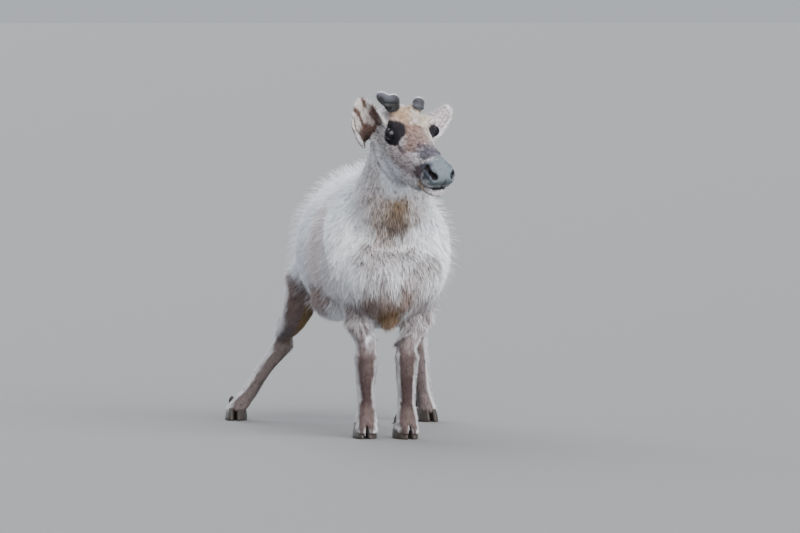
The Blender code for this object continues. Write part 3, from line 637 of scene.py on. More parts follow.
EARS = {"left": {"root": (-0.002, 0.072, -0.074), "rise": head_way(0.95, 0.15, -0.28),
                 "hollow": head_way(0.40, -0.85, 0.05), "length": 0.120},
        "right": {"root": (0.000, -0.067, -0.130), "rise": head_way(-0.42, 0.86, -0.28),
                  "hollow": head_way(-0.35, 0.30, 0.88), "length": 0.138}}
FLOW = {
    "head": [on_head(0.330, 0, -0.050), on_head(-0.060, 0, -0.070)],
    "neck": [on_head(-0.02, 0, -0.08), on_body(0, -0.05, 0.78), on_body(0, 0.06, 0.55)],
    "trunk": [on_body(0, -0.12, 0.52), on_body(0, 0.30, 0.57), on_body(0, 0.84, 0.60)],
    "tail": [on_body(0, 0.82, 0.72), on_body(0, 0.88, 0.56)],
    "foreleg_left": [on_body(0.09, 0.04, 0.45), on_body(0.035, -0.01, 0.24), on_body(0.044, -0.024, 0)],
    "foreleg_right": [on_body(-0.10, 0.04, 0.45), on_body(-0.078, 0.01, 0.24), on_body(-0.073, 0.012, 0)],
    "hindleg_left": [on_body(0.14, 0.60, 0.52), on_body(0.226, 0.712, 0.262), on_body(0.252, 0.70, 0)],
    "hindleg_right": [on_body(-0.12, 0.62, 0.52), on_body(-0.184, 0.795, 0.25), on_body(-0.322, 0.868, 0)],
}
for side in SIDES:
    root = np.array(on_head(*EARS[side]["root"]))
    FLOW["ear_" + side] = [tuple(root), tuple(root + EARS[side]["rise"] * EARS[side]["length"])]


def limb_of(node):
    """The name in FLOW of the limb that a flesh part belongs to."""
    return node.replace("_upper", "").replace("_lower", "")


def along_limb(rows, spine):
    """Each row's nearest place on a bent line: (distance off it, distance along it, offset, way)."""
    spine = np.array(spine, float)
    best = np.full(len(rows), np.inf)
    travel, offset, way_there = np.zeros(len(rows)), np.zeros((len(rows), 3)), np.zeros((len(rows), 3))
    travelled = 0.0
    for number, (start, end) in enumerate(zip(spine[:-1], spine[1:])):
        length = np.linalg.norm(end - start)
        way = (end - start) / length
        reach = (rows - start) @ way
        low = -np.inf if number == 0 else 0.0
        high = np.inf if number == len(spine) - 2 else length
        reach = np.clip(reach, low, high)
        away_from = rows - start - reach[:, None] * way
        gap = np.linalg.norm(away_from, axis=1)
        nearer = gap < best
        best[nearer], travel[nearer] = gap[nearer], travelled + reach[nearer]
        offset[nearer], way_there[nearer] = away_from[nearer], way
        travelled += length
    return best, travel, offset, way_there


print("fur follows", len(FLOW), "lines")

# %% [markdown]
# The finished skin is measured afresh: where each of its points is on the head's axes and from the
# forefeet, which way it faces, and which part it belongs to.

# %% Measure the finished skin
rows = positions(skin_mesh)
outward = normals(skin_mesh)
skin_parts = parts_at(rows)
skin_pairs = edges_of(skin_mesh)
places = head_places(rows)
along, out, up = places.T
body = rows - BODY
x, y, z = body.T

is_part = {node: skin_parts == number for number, node in enumerate(FLESH)}
is_ear = {side: is_part["ear_" + side] for side in SIDES}
ear_any = is_ear["left"] | is_ear["right"]
head_only = is_part["head"].astype(float)
leg_points = {end: sum(is_part[node] for node in LEG_PARTS if end in node) for end in ("fore", "hind")}
facing_side = np.abs(outward[:, 0])
say("the finished skin has", len(rows), "points")

# %% [markdown]
# On the trunk the fur runs back and hangs down the sides, on the chest it hangs straight, and on
# the cheeks it runs back and down. Averaging over neighbours joins the parts' directions without a
# break.

# %% How the fur lies, part by part
BACK, DOWN = np.array((0.0, 1.0, 0.0)), np.array((0.0, 0.0, -1.0))

lie = np.zeros_like(rows)
for node in FLESH:
    chosen = is_part[node]
    lie[chosen] = along_limb(rows[chosen], FLOW[limb_of(node)])[3]

facing_front = ramp(outward[:, 1], -0.25, -0.5)
trunk_hang = 0.12 + 1.1 * np.maximum(facing_side, facing_front)
trunk_lie = BACK * (0.62 - 0.55 * facing_front)[:, None] + DOWN * trunk_hang[:, None]
lie = np.where(is_part["trunk"][:, None], unit(trunk_lie), lie)
cheek = np.abs(outward @ HEAD_AXES[1])
head_lie = -HEAD_AXES[0] * 0.8 - HEAD_AXES[2] * (0.55 * cheek)[:, None]
lie = np.where(is_part["head"][:, None], unit(head_lie), lie)
lie = unit(spread(lie, skin_pairs, 14))
say("the fur knows which way it lies")

# %% [markdown]
# The plan for the coat is made of places with soft edges: the hollow and the rim of each ear, the
# chest, the throat, the jaw, the lips, the ring round each eye and the fringe over each hoof.

# %% The places where the fur changes
EAR_STEPS = 12


def near_pair(where, centre, radii, edge=0.5):
    """The same patch on the left and right of the head or body."""
    side_axis = 1 if where is places else 0
    other = list(centre)
    other[side_axis] *= -1.0
    return np.maximum(near_spot(where, centre, radii, edge), near_spot(where, other, radii, edge))


in_hollow, ear_share, ear_rim = np.zeros((3, len(rows)))
for side in SIDES:
    hollow_side = ramp(outward @ EARS[side]["hollow"], -0.10, 0.35)
    in_hollow = np.maximum(in_hollow, is_ear[side] * hollow_side)
    off_spine, travelled = along_limb(rows, FLOW["ear_" + side])[:2]
    ear_share = np.where(is_ear[side], travelled / EARS[side]["length"], ear_share)
    step = np.clip((ear_share * EAR_STEPS).astype(int), 0, EAR_STEPS - 1)
    widest = np.array([off_spine[is_ear[side] & (step == number)].max(initial=0.001)
                       for number in range(EAR_STEPS)])
    ear_rim = np.where(is_ear[side], ramp(off_spine / widest[step], 0.80, 0.12), ear_rim)

front_chest = near_spot(body, (0.0, -0.13, 0.47), (0.14, 0.10, 0.17))
brisket = near_spot(body, (-0.01, -0.09, 0.36), (0.075, 0.08, 0.075))
throat = near_spot(body, (0.005, -0.16, 0.66), (0.060, 0.08, 0.10))
by_jaw = near_spot(places, (0.090, 0.0, -0.215), (0.120, 0.11, 0.085)) * (1.0 - ear_any)
muzzle = ramp(along, 0.185, 0.060) * head_only
chin = near_spot(places, (0.285, 0.0, -0.112), (0.060, 0.05, 0.020)) * head_only
eye_ring = np.minimum(*[lid_ring(places, side)[0] for side in SIDES])
close_to_eye = ramp(eye_ring, 2.6, -1.4)
hoof_fringe = band(z, 0.050, 0.020)
leg_edge = ramp(facing_side, 0.70, 0.25) * (1.0 - head_only) * ramp(z, 0.36, -0.05)

front = ramp(along, 0.270, 0.035)
lip_part = 0.0024 + 0.0026 * front + 0.0018 * ramp(out, -0.022, 0.026)
mouth = ease(1.4 - np.abs(up + 0.0715 - 0.005 * front) / lip_part)
mouth *= ramp(along, 0.240, 0.020) * head_only
nostrils = ramp(comma_gap(places), 1.20, -0.45) * head_only
say("the ears' hollows hold", int(in_hollow.sum()), "points")

# %% [markdown]
# Each list below pairs a length or height in metres with the place that takes it, in order. Fur in
# front of an eye, a nostril or the lips would hide them, so hardly any grows there.

# %% How long, high, broad and thick the fur is
FUR_LONG = {"trunk": 0.050, "neck": 0.036, "head": 0.0125, "tail": 0.045, "ear_left": 0.0085,
            "ear_right": 0.0085}
FUR_LONG.update({node: 0.022 if "upper" in node else 0.011 for node in LEG_PARTS})


def towards(values, goal, share):
    """Values moved part of the way to a goal."""
    return values + (goal - values) * share


fur_long = spread(by_part(skin_parts, FUR_LONG, 0.03), skin_pairs, 16)
for goal, share in ((0.048, 0.8 * front_chest), (0.050, brisket), (0.036, throat * (1.0 - head_only)),
                    (0.015, 0.9 * by_jaw), (0.0030, muzzle), (0.012, chin), (0.0042, close_to_eye),
                    (0.015, in_hollow), (0.021, hoof_fringe), (0.017, ear_rim),
                    (0.020, leg_edge * (1.0 - hoof_fringe))):
    fur_long = towards(fur_long, goal, share)

fur_rise = coat_depth(rows, skin_parts, skin_pairs)
for goal, share in ((0.0065, 0.8 * by_jaw), (0.005, chin), (0.0011, close_to_eye), (0.0050, in_hollow)):
    fur_rise = towards(fur_rise, goal, share)
fur_rise = towards(np.maximum(fur_rise, 0.0042 * hoof_fringe), 0.0060, ear_rim)
fur_rise = np.maximum(fur_rise, 0.0090 * leg_edge * ramp(z, 0.05, 0.03))

fur_broad = 0.0011 + 0.040 * fur_long
fur_broad = towards(fur_broad, 0.0016, np.maximum(head_only * 0.8, in_hollow))

fur_thick = ramp(eye_ring, 1.02, 0.16)
fur_thick *= 1.0 - 0.95 * mouth
fur_thick *= 1.0 - nostrils
fur_thick *= ~buried(rows, HORNY + CLAWS + EYES + BUDS)
fur_thick *= ramp(z - HOOF_TOP, 0.001, 0.006)
fur_thick = towards(fur_thick, 1.5, close_to_eye * (eye_ring > 1.2))
say("fur is from", *np.round([fur_long.min() * 1000, fur_long.max() * 1000]), "mm long")

# %% [markdown]
# ## Markings
# The same colours go on the skin and on the tufts that grow from it. They are soft patches laid
# one over another, each with a centre, a reach and a colour, so anyone can move or repaint one.
# A little lattice noise roughens every edge, because fur never changes colour along a clean line.

# %% Tools for painting
def tint(red, green, blue):
    """A colour given on a 0 to 255 screen scale, as light amounts."""
    return np.array([(channel / 255.0) ** 2.2 for channel in (red, green, blue)])


def lattice_noise(where, size, seed):
    """Smooth noise from 0 to 1 with lumps of a given size."""
    grid = where / size
    cell = np.floor(grid).astype(np.int64)
    part = ease(grid - cell)
    total = np.zeros(len(where))
    for corner in range(8):
        step = np.array([corner & 1, corner >> 1 & 1, corner >> 2 & 1])
        mixed = (cell + step) @ np.array([73856093, 19349663, 83492791]) + seed * 2654435761
        mixed = (mixed ^ (mixed >> 13)) * 1274126177 & 0x7fffffff
        level = (mixed ^ (mixed >> 16)) % 65536 / 65535.0
        weight = np.prod(np.where(step, part, 1.0 - part), axis=1)
        total += weight * level
    return total


EDGE_NOISE = ((0.045, 0.5), (0.020, 0.6), (0.009, 0.8), (0.0045, 0.7))
rough_edge = sum((lattice_noise(rows, size, 3 + number) - 0.5) * strength
                 for number, (size, strength) in enumerate(EDGE_NOISE))
colour = np.tile(tint(228, 232, 238), (len(rows), 1))
fleck = np.full(len(rows), 0.03)


def paint(share, shade, strength, dark_share=None):
    """Lays a colour over the markings, with a rough edge, and may change the share of dark flecks."""
    global colour, fleck
    share = ease(share + rough_edge * 1.1 * (share > 0.02) * (share < 0.98)) * strength
    colour = colour + (tint(*shade) - colour) * share[:, None]
    if dark_share is not None:
        fleck = towards(fleck, dark_share, share)


def paint_patches(where, table):
    """Paints a table of round patches in order. Those marked 2 lie on the left and the right."""
    for sides, only, centre, reach, shade, strength, dark_share, *edge in table:
        spot = near_pair if sides == 2 else near_spot
        paint(spot(where, centre, reach, *edge) * only, shade, strength, dark_share)


print("the painting starts on", len(colour), "pale points")

# %% [markdown]
# The tables give for each patch how many sides it lies on, the share of it that shows, its centre
# and its reach, its colour, its strength and its share of dark flecks. Strands are noise that is
# drawn out downwards, which makes the chest look combed, as long wet locks do.

# %% Markings of the flanks, neck and chest
soft_fore, soft_hind = (spread(leg_points[end], skin_pairs, 10) for end in ("fore", "hind"))
soft_neck = spread(is_part["neck"], skin_pairs, 16)
on_trunk = (is_part["trunk"] | is_part["neck"] | is_part["tail"]).astype(float)
strand = ramp(lattice_noise(rows * (1.0, 1.0, 0.24), 0.017, 41), 0.56, 0.14)
under_jaw = ramp(z, 0.742, -0.014)
FLANKS = (
    (2, 1.0, (0.19, 0.20, 0.60), (0.10, 0.10, 0.16), (190, 170, 170), 0.70, 0.08),
    (2, 1.0, (0.18, 0.02, 0.50), (0.09, 0.07, 0.16), (180, 170, 176), 0.45, 0.08),
    (2, 1.0, (0.18, 0.24, 0.432), (0.08, 0.14, 0.042), (108, 82, 76), 0.90, 0.30),
    # The belly is white, and painted near pure white here as painted light that lifts it out of the shade
    # under the trunk.
    (1, 1.0, (0.0, 0.30, 0.34), (0.20, 0.40, 0.045), (246, 249, 252), 0.95, None),
)
CHEST = (
    (1, 1.0, (-0.155, -0.03, 0.66), (0.085, 0.10, 0.14), (236, 240, 245), 0.85, 0.02),
    (1, 1.0, (0.125, -0.05, 0.60), (0.05, 0.12, 0.16), (232, 238, 244), 0.8, 0.03),
    (1, 1.0, (0.0, -0.13, 0.49), (0.125, 0.08, 0.15), (146, 136, 137), 0.80, 0.40),
    (1, strand, (0.0, -0.13, 0.50), (0.125, 0.08, 0.13), (208, 211, 218), 0.60, 0.10),
    (1, 1.0, (-0.02, -0.16, 0.495), (0.020, 0.06, 0.070), (218, 222, 230), 0.55, 0.05),
    (1, 1.0, (-0.107, -0.04, 0.370), (0.050, 0.09, 0.080), (134, 122, 123), 0.85, 0.36),
    (1, strand, (-0.107, -0.04, 0.370), (0.050, 0.09, 0.080), (196, 196, 202), 0.45, 0.10),
    (1, 1.0, (0.080, -0.04, 0.370), (0.052, 0.09, 0.080), (134, 122, 123), 0.85, 0.36),
    (1, strand, (0.080, -0.04, 0.370), (0.052, 0.09, 0.080), (196, 196, 202), 0.45, 0.10),
    (1, 1.0, (-0.035, -0.14, 0.41), (0.060, 0.07, 0.06), (110, 92, 84), 0.75, 0.35),
    (1, 1.0, (0.020, -0.14, 0.445), (0.026, 0.07, 0.040), (120, 98, 86), 0.70, 0.35),
    (1, 1.0, (-0.092, -0.13, 0.41), (0.024, 0.07, 0.050), (126, 110, 106), 0.60, 0.35),
    (1, 1.0 - soft_fore, (-0.01, -0.09, 0.37), (0.050, 0.08, 0.070), (116, 90, 62), 0.92, 0.25),
)
THROAT = (
    (1, 1.0, (-0.030, -0.14, 0.690), (0.095, 0.10, 0.125), (184, 174, 174), 0.60, 0.45),
    (1, under_jaw, (-0.024, -0.15, 0.672), (0.060, 0.08, 0.110), (156, 140, 126), 0.66, 0.55),
    # Just under the jaw's edge the throat's ochre is darkened: partly its own colour and partly painted
    # shade for the shadow that the jaw casts.
    (1, under_jaw, (0.004, -0.16, 0.712), (0.042, 0.06, 0.034), (140, 114, 82), 0.70, 0.50),
    (1, 1.0, (-0.004, -0.14, 0.652), (0.030, 0.06, 0.044), (92, 70, 56), 0.60, 0.60),
    (1, 1.0 - under_jaw, (-0.004, -0.19, 0.785), (0.060, 0.07, 0.055), (206, 213, 222), 0.9, 0.10),
)

paint(on_trunk * lattice_noise(rows, 0.11, 8), (186, 188, 200), 0.75)
paint_patches(body, FLANKS)
paint(soft_neck, (198, 193, 198), 0.65, 0.40)
paint_patches(body, CHEST + THROAT)
say("the trunk is painted with", len(FLANKS + CHEST + THROAT), "patches")

# %% [markdown]
# The legs are dark in front. Down each edge that turns away from the camera a pale rim is painted,
# painted rim light for pale fringe hairs that the light from behind catches. On the hind legs the
# rim is on the outer edge alone, and the right leg's is narrow high up and broad below.

# %% Markings of the legs
LEG_PATCHES = (
    (1, 1.0, (0.034, -0.055, 0.145), (0.045, 0.040, 0.050), (60, 46, 47), 0.88, 0.1),
    (1, 1.0, (-0.074, -0.023, 0.145), (0.045, 0.040, 0.050), (60, 46, 47), 0.88, 0.1),
    (2, 1.0, (0.19, 0.57, 0.42), (0.10, 0.13, 0.07), (104, 84, 82), 0.75, 0.2),
)
HOCK = ((1, soft_hind, (-0.140, 0.775, 0.262), (0.022, 0.03, 0.030), (220, 218, 224), 0.8, 0.05),)

paint(soft_fore, (164, 160, 168), 0.85, 0.34)
paint(soft_fore * ramp(z, 0.43, -0.09), (120, 106, 106), 0.90, 0.32)
paint(soft_fore * ramp(z, 0.30, -0.06), (90, 77, 76), 0.95, 0.14)
paint(soft_hind, (98, 84, 83), 0.95, 0.14)
paint_patches(body, LEG_PATCHES)
facing_back = ramp(outward[:, 1], 0.62, 0.30)
inner_thigh = soft_hind * ramp(outward[:, 0] * np.sign(x), 0.10, -0.4) * ramp(z, 0.24, 0.05)
paint(inner_thigh * (1.0 - facing_back), (132, 108, 68), 0.80)
paint(soft_hind * facing_back, (208, 208, 214), 0.85)
# The pale rims follow the outline as the camera sees it: painted rim light.
aside = outward @ np.array(picture_right)
paint(soft_fore * ramp(np.abs(aside), 0.74, 0.16), (222, 221, 226), 0.85, 0.06)
rim_light_starts = np.where(x > 0.0, 0.60, 0.80 - 0.30 * ramp(z, 0.26, -0.05))
paint(soft_hind * ramp(aside * np.sign(x), rim_light_starts, 0.16), (224, 222, 228), 0.85, 0.06)
paint_patches(body, HOCK)
say("the legs are painted")

# %% [markdown]
# The face has the clearest pattern: a tan forehead, a black ring round each eye, a pinkish bridge
# that darkens to slate above the nose, and a pale grey muzzle. Some of its patches end with one
# more number, which makes their edge crisper than usual.

# %% Markings of the head
FACE_PATCHES = tuple((sides, head_only, *patch) for sides, *patch in (
    (2, (0.10, 0.045, -0.165), (0.10, 0.05, 0.055), (212, 216, 225), 0.85, 0.10),
    (2, (0.160, 0.050, -0.075), (0.065, 0.04, 0.045), (178, 162, 166), 0.75, 0.30),
    (1, (0.015, -0.012, -0.004), (0.060, 0.056, 0.040), (166, 140, 114), 0.85, 0.34),
    (1, (0.062, -0.044, -0.010), (0.058, 0.056, 0.036), (156, 130, 106), 0.78, 0.34),
    (1, (0.092, 0.034, -0.006), (0.060, 0.036, 0.032), (188, 174, 160), 0.85, 0.38),
    (1, (0.148, -0.022, -0.014), (0.056, 0.052, 0.032), (128, 103, 94), 0.88, 0.45),
    (1, (0.150, 0.050, -0.022), (0.080, 0.014, 0.014), (214, 206, 204), 0.7, 0.10),
    (1, (0.219, -0.006, -0.014), (0.041, 0.054, 0.026), (62, 61, 74), 0.90, 0.40),
    (1, (0.290, 0.0, -0.020), (0.058, 0.064, 0.040), (104, 114, 121), 1.0, 0.0, 0.25),
    (2, (0.247, 0.048, -0.056), (0.028, 0.024, 0.046), (64, 50, 56), 0.92, 0.1),
    (2, (0.270, 0.040, -0.022), (0.030, 0.018, 0.022), (58, 60, 72), 0.85, 0.0),
    (1, (0.300, 0.0, -0.062), (0.044, 0.055, 0.012), (150, 158, 162), 0.7, 0.0),
    # This narrow dark stripe down the middle of the lip pad is painted shade for its groove.
    (1, (0.305, 0.004, -0.048), (0.030, 0.0045, 0.024), (62, 66, 74), 0.7, 0.0),
    (1, (0.285, 0.0, -0.112), (0.060, 0.05, 0.020), (168, 172, 178), 0.9, 0.02),
    (2, (0.262, 0.034, -0.094), (0.022, 0.016, 0.012), (158, 136, 110), 0.65, 0.15),
    (2, (0.062, 0.068, -0.007), (0.044, 0.020, 0.005), (196, 182, 170), 0.20, 0.10),
    (2, (0.089, 0.078, -0.043), (0.036, 0.060, 0.030), (30, 28, 34), 0.99, 0.0, 0.08),
    (1, (0.089, -0.078, -0.037), (0.041, 0.060, 0.0335), (30, 28, 34), 0.99, 0.0, 0.08),
    (1, (0.112, 0.062, -0.052), (0.022, 0.030, 0.018), (34, 31, 37), 0.97, 0.0, 0.1),
    (2, (0.143, 0.054, -0.054), (0.013, 0.02, 0.006), (52, 44, 50), 0.8, 0.0),
))

paint(head_only, (198, 194, 199), 1.0, 0.42)
paint_patches(places, FACE_PATCHES)
# The nostrils and the parting of the lips are painted near black: painted shade for the depth of these
# openings.
paint(nostrils, (20, 18, 22), 0.98, 0.0)
paint(mouth, (20, 16, 18), 0.97, 0.0)
say("the face is painted with", len(FACE_PATCHES), "patches")

# %% [markdown]
# An ear's hollow is dark at the root, with pale hairs that run along it, and its rim and tip are
# pale. The hairs come from noise whose lumps are drawn out along the ear.

# %% Markings of the ears
ears = ear_any.astype(float)
paint(ears, (172, 163, 168), 1.0, 0.36)
paint(in_hollow, (104, 78, 68), 0.92, 0.30)
for side in SIDES:
    rise = EARS[side]["rise"]
    squeezed = rows - np.outer(rows @ rise, rise) * 0.86
    streak = ramp(lattice_noise(squeezed, 0.0100, 27), 0.40, 0.20)
    paint(in_hollow * is_ear[side] * streak * ramp(ear_share, 0.28, 0.20), (216, 210, 208), 0.85, 0.15)
paint(in_hollow * ease(1.0 - ear_share * 3.4), (52, 38, 34), 0.85, 0.10)
paint(ear_rim, (224, 221, 222), 0.92, 0.05)
paint(ears * ramp(ear_share, 0.82, 0.15) * (1.0 - in_hollow), (216, 214, 220), 0.7, 0.1)


def store(mesh, **values_by_name):
    """Stores numbers or vectors under their names, one for each point of a mesh."""
    for name, values in values_by_name.items():
        values = np.asarray(values, np.float32)
        kind, field = ("FLOAT", "value") if values.ndim == 1 else ("FLOAT_VECTOR", "vector")
        mesh.attributes.new(name, kind, "POINT").data.foreach_set(field, values.ravel())


store(skin_mesh, lie=lie, fur_long=fur_long, fur_rise=fur_rise, fur_broad=fur_broad,
      fur_thick=fur_thick, markings=colour, fleck=fleck)
say("the markings are on", len(rows), "points")

# %% [markdown]
# ## Node sums
# Node trees are sums on sockets. Wrapping a socket in a small class lets a script write them as
# sums: `shade * 0.7 + 0.3` builds a Multiply and an Add node. The same class serves the shader
# trees and the Geometry Nodes tree.

# %% A class for node sums
class Wire:
    """One output socket that can be added, multiplied and mixed."""

    def __init__(self, sheet, socket):
        self.sheet = sheet
        self.socket = socket

    def is_wide(self):
        """Says whether the socket carries three numbers."""
        return self.socket.type in ("VECTOR", "RGBA")

    def sum(self, operation, *items):
        """A Math or Vector Math node on several sockets or values."""
        wide = any(item.is_wide() if isinstance(item, Wire) else isinstance(item, tuple) for item in items)
        kind = "ShaderNodeVectorMath" if wide else "ShaderNodeMath"
        return self.sheet.add(kind, {"operation": operation}, dict(enumerate(items)))

    def above(self, limit):
        """One where the value is over a limit, and nought elsewhere."""
        return self.sum("GREATER_THAN", self, limit)

    def length(self):
        """The length of this vector."""
        return self.sheet.add("ShaderNodeVectorMath", {"operation": "LENGTH"}, {0: self}, 1)

    def part(self, number):
        """One of the three numbers of a vector."""
        return self.sheet.add("ShaderNodeSeparateXYZ", {}, {0: self}, number)


# Each sign works in both orders, so wire * 2 and 2 * wire both build a node. Each method keeps its
# own operation as a default value.
for sign, operation in {"add": "ADD", "sub": "SUBTRACT", "mul": "MULTIPLY", "truediv": "DIVIDE",
                        "pow": "POWER"}.items():
    setattr(Wire, f"__{sign}__", lambda one, two, operation=operation: one.sum(operation, one, two))
    setattr(Wire, f"__r{sign}__", lambda one, two, operation=operation: one.sum(operation, two, one))


class Sheet:
    """A node tree that new nodes are put on."""

    def __init__(self, tree):
        self.tree = tree

    def feed(self, socket, value):
        """Links a wire to a socket or sets its fixed value."""
        if isinstance(value, Wire):
            self.tree.links.new(value.socket, socket)
            return
        if socket.type == "RGBA" and len(value) == 3:
            value = (*value, 1.0)
        if socket.type == "VECTOR" and isinstance(value, (int, float)):
            value = (value, value, value)
        socket.default_value = value

    def add(self, kind, settings, inputs, output=0):
        """Adds a node with its settings and inputs, and gives back one of its outputs."""
        node = self.tree.nodes.new(kind)
        for name, value in settings.items():
            setattr(node, name, value)
        for key, value in inputs.items():
            self.feed(node.inputs[key], value)
        return Wire(self, node.outputs[output])

    def attribute(self, name, output="Vector"):
        """Reads a named attribute of the mesh that wears the material."""
        return self.add("ShaderNodeAttribute", {"attribute_name": name}, {}, output)

    def here(self):
        """The place on the object, in metres."""
        return self.add("ShaderNodeTexCoord", {}, {}, "Object")

    def noise(self, place, scale, detail, output=0):
        """Smooth noise that changes from place to place."""
        inputs = {"Vector": place, "Scale": scale, "Detail": detail}
        return self.add("ShaderNodeTexNoise", {}, inputs, output)

    def blend(self, one, two, share):
        """One colour with a share of another mixed in."""
        return self.add("ShaderNodeMix", {"data_type": "RGBA"}, {0: share, 6: one, 7: two}, 2)

    def bump(self, height, strength, distance):
        """The surface direction tilted by a height."""
        inputs = {"Height": height, "Strength": strength, "Distance": distance}
        return self.add("ShaderNodeBump", {}, inputs, "Normal")


def finish_sheet(name, roughness, specular, **more):
    """A new material, its sheet and its surface inputs. More inputs have _ for each space."""
    finish = bpy.data.materials.new(name)
    finish.use_nodes = True
    surface = finish.node_tree.nodes["Principled BSDF"]
    more.update(Roughness=roughness, Specular_IOR_Level=specular)
    for key, value in more.items():
        surface.inputs[key.replace("_", " ")].default_value = value
    return finish, Sheet(finish.node_tree), surface.inputs


print("node sums are ready")

# %% [markdown]
# Skin and tufts share their colours. On a tuft the colour runs from a darker, shaded root to a
# lighter tip, and each tuft has its own tone, so that single locks can be told apart.

# %% Materials of the skin and the fur
ROOT_SHADE, TIP_SHADE = 0.66, 1.12

fur_finish, fur_sheet, fur_inputs = finish_sheet("coat_fur", 0.78, 0.22, Sheen_Weight=0.12,
                                                 Sheen_Roughness=0.4)
blade_shade = fur_sheet.attribute("along", "Fac") * (TIP_SHADE - ROOT_SHADE) + ROOT_SHADE
fur_colour = fur_sheet.attribute("markings") * (fur_sheet.attribute("tone", "Fac") * blade_shade)
fur_sheet.feed(fur_inputs["Base Color"], fur_colour)

skin_finish, skin_sheet, skin_inputs = finish_sheet("coat_skin", 0.85, 0.2)
strands = skin_sheet.noise(skin_sheet.here(), 420.0, 3.0)
skin_sheet.feed(skin_inputs["Base Color"], skin_sheet.attribute("markings") * (strands * 0.5 + 0.42))
skin_sheet.feed(skin_inputs["Normal"], skin_sheet.bump(strands, 0.45, 0.0012))
skin_mesh.materials.clear()
skin_mesh.materials.append(skin_finish)
print("materials:", fur_finish.name, skin_finish.name)

# %% [markdown]
# ## The tuft tree
# Geometry Nodes scatters points on the skin, as many as `fur_thick` asks for, and puts a blade on
# each. A blade is a thin tapered strip that leaves the root steeply and then bends flat. Its Z
# axis follows the skin's outward direction and its Y axis follows `lie`, turned a little by noise
# so that neighbours clump into locks.

# %% The Geometry Nodes tree for tufts
TUFT_INPUTS = {"Area": ("String", ""), "Per Square Metre": ("Float", 1000.0), "Seed": ("Int", 1),
               "Rows": ("Int", 3), "Length": ("Float", 1.0), "Stand": ("Float", 1.0),
               "Breadth": ("Float", 1.0), "Clump": ("Float", 0.5), "Clump Size": ("Float", 0.03),
               "Material": ("Material", None)}
BENDS = (-1.6, 0.1, 1.7)

tuft_tree = bpy.data.node_groups.new("Tufts", "GeometryNodeTree")
tuft_tree.interface.new_socket("Geometry", in_out="INPUT", socket_type="NodeSocketGeometry")
tuft_sockets = {}
for name, (kind, usual) in TUFT_INPUTS.items():
    tuft_sockets[name] = tuft_tree.interface.new_socket(name, in_out="INPUT",
                                                        socket_type="NodeSocket" + kind)
    if usual is not None:
        tuft_sockets[name].default_value = usual
tuft_tree.interface.new_socket("Geometry", in_out="OUTPUT", socket_type="NodeSocketGeometry")

tufts = Sheet(tuft_tree)
group_in = tuft_tree.nodes.new("NodeGroupInput")
given = {socket.name: Wire(tufts, socket) for socket in group_in.outputs if socket.name}


def named(name, kind="FLOAT"):
    """Reads a named attribute of the skin."""
    return tufts.add("GeometryNodeInputNamedAttribute", {"data_type": kind}, {"Name": name}, "Attribute")


def chance(low, high, extra):
    """A random number for each tuft."""
    return tufts.add("FunctionNodeRandomValue", {"data_type": "FLOAT"},
                     {2: low, 3: high, 8: given["Seed"] + extra}, 1)


def kept(shape_wire, name, value, kind="FLOAT", domain="POINT"):
    """Stores a value under a name in the geometry."""
    return tufts.add("GeometryNodeStoreNamedAttribute", {"data_type": kind, "domain": domain},
                     {"Geometry": shape_wire, "Name": name, "Value": value}, "Geometry")


def blade(bend):
    """A tapered strip that bends flat and leans to one side."""
    grid = {"Size X": 1.0, "Size Y": 1.0, "Vertices X": 2, "Vertices Y": given["Rows"]}
    strip = tufts.add("GeometryNodeMeshGrid", {}, grid, "Mesh")
    spot = tufts.add("GeometryNodeInputPosition", {}, {})
    way = spot.part(1) + 0.5
    strip = kept(strip, "along", way)
    strip = kept(strip, "across", spot.part(0))
    width = spot.part(0) * (1.0 - way ** 1.7) + (way ** 2.0) * bend
    height = 0.94 - (1.0 - way) ** 2.0
    where = tufts.add("ShaderNodeCombineXYZ", {}, {0: width, 1: way, 2: height})
    strip = tufts.add("GeometryNodeSetPosition", {}, {"Geometry": strip, "Position": where}, "Geometry")
    strip = tufts.add("GeometryNodeMergeByDistance", {}, {"Geometry": strip, "Distance": 0.001}, "Geometry")
    return tufts.add("GeometryNodeGeometryToInstance", {}, {"Geometry": strip})


blades = tuft_tree.nodes.new("GeometryNodeJoinGeometry")
for bend in reversed(BENDS):
    tuft_tree.links.new(blade(bend).socket, blades.inputs["Geometry"])

thickness = named("fur_thick") * named(given["Area"]) * given["Per Square Metre"]
scatter = tuft_tree.nodes.new("GeometryNodeDistributePointsOnFaces")
for name, value in {"Mesh": given["Geometry"], "Density": thickness, "Seed": given["Seed"]}.items():
    tufts.feed(scatter.inputs[name], value)
roots, root_normal = Wire(tufts, scatter.outputs["Points"]), Wire(tufts, scatter.outputs["Normal"])

spot = tufts.add("GeometryNodeInputPosition", {}, {})
lumps = tufts.noise(spot, 1.0 / given["Clump Size"], 1.5, "Color")
fine_lumps = tufts.noise(spot + (3.1, 1.7, 5.3), 95.0, 1.0)
swayed = named("lie", "FLOAT_VECTOR") + (lumps - (0.5, 0.5, 0.5)) * given["Clump"]
turned = tufts.add("FunctionNodeAxesToRotation", {"primary_axis": "Z", "secondary_axis": "Y"},
                   {0: root_normal, 1: swayed})
roll_by = {"Axis": (0.0, 1.0, 0.0), "Angle": chance(-0.42, 0.42, 1)}
roll = tufts.add("FunctionNodeAxisAngleToRotation", {}, roll_by)
turned = tufts.add("FunctionNodeRotateRotation", {"rotation_space": "LOCAL"}, {0: turned, 1: roll})
broad = named("fur_broad") * given["Breadth"] * chance(0.7, 1.3, 3)
long = named("fur_long") * given["Length"] * (chance(0.55, 1.08, 2) * (fine_lumps * 0.6 + 0.7))
high = named("fur_rise") * given["Stand"] * chance(0.45, 1.05, 4)
size = tufts.add("ShaderNodeCombineXYZ", {}, {0: broad, 1: long, 2: high})
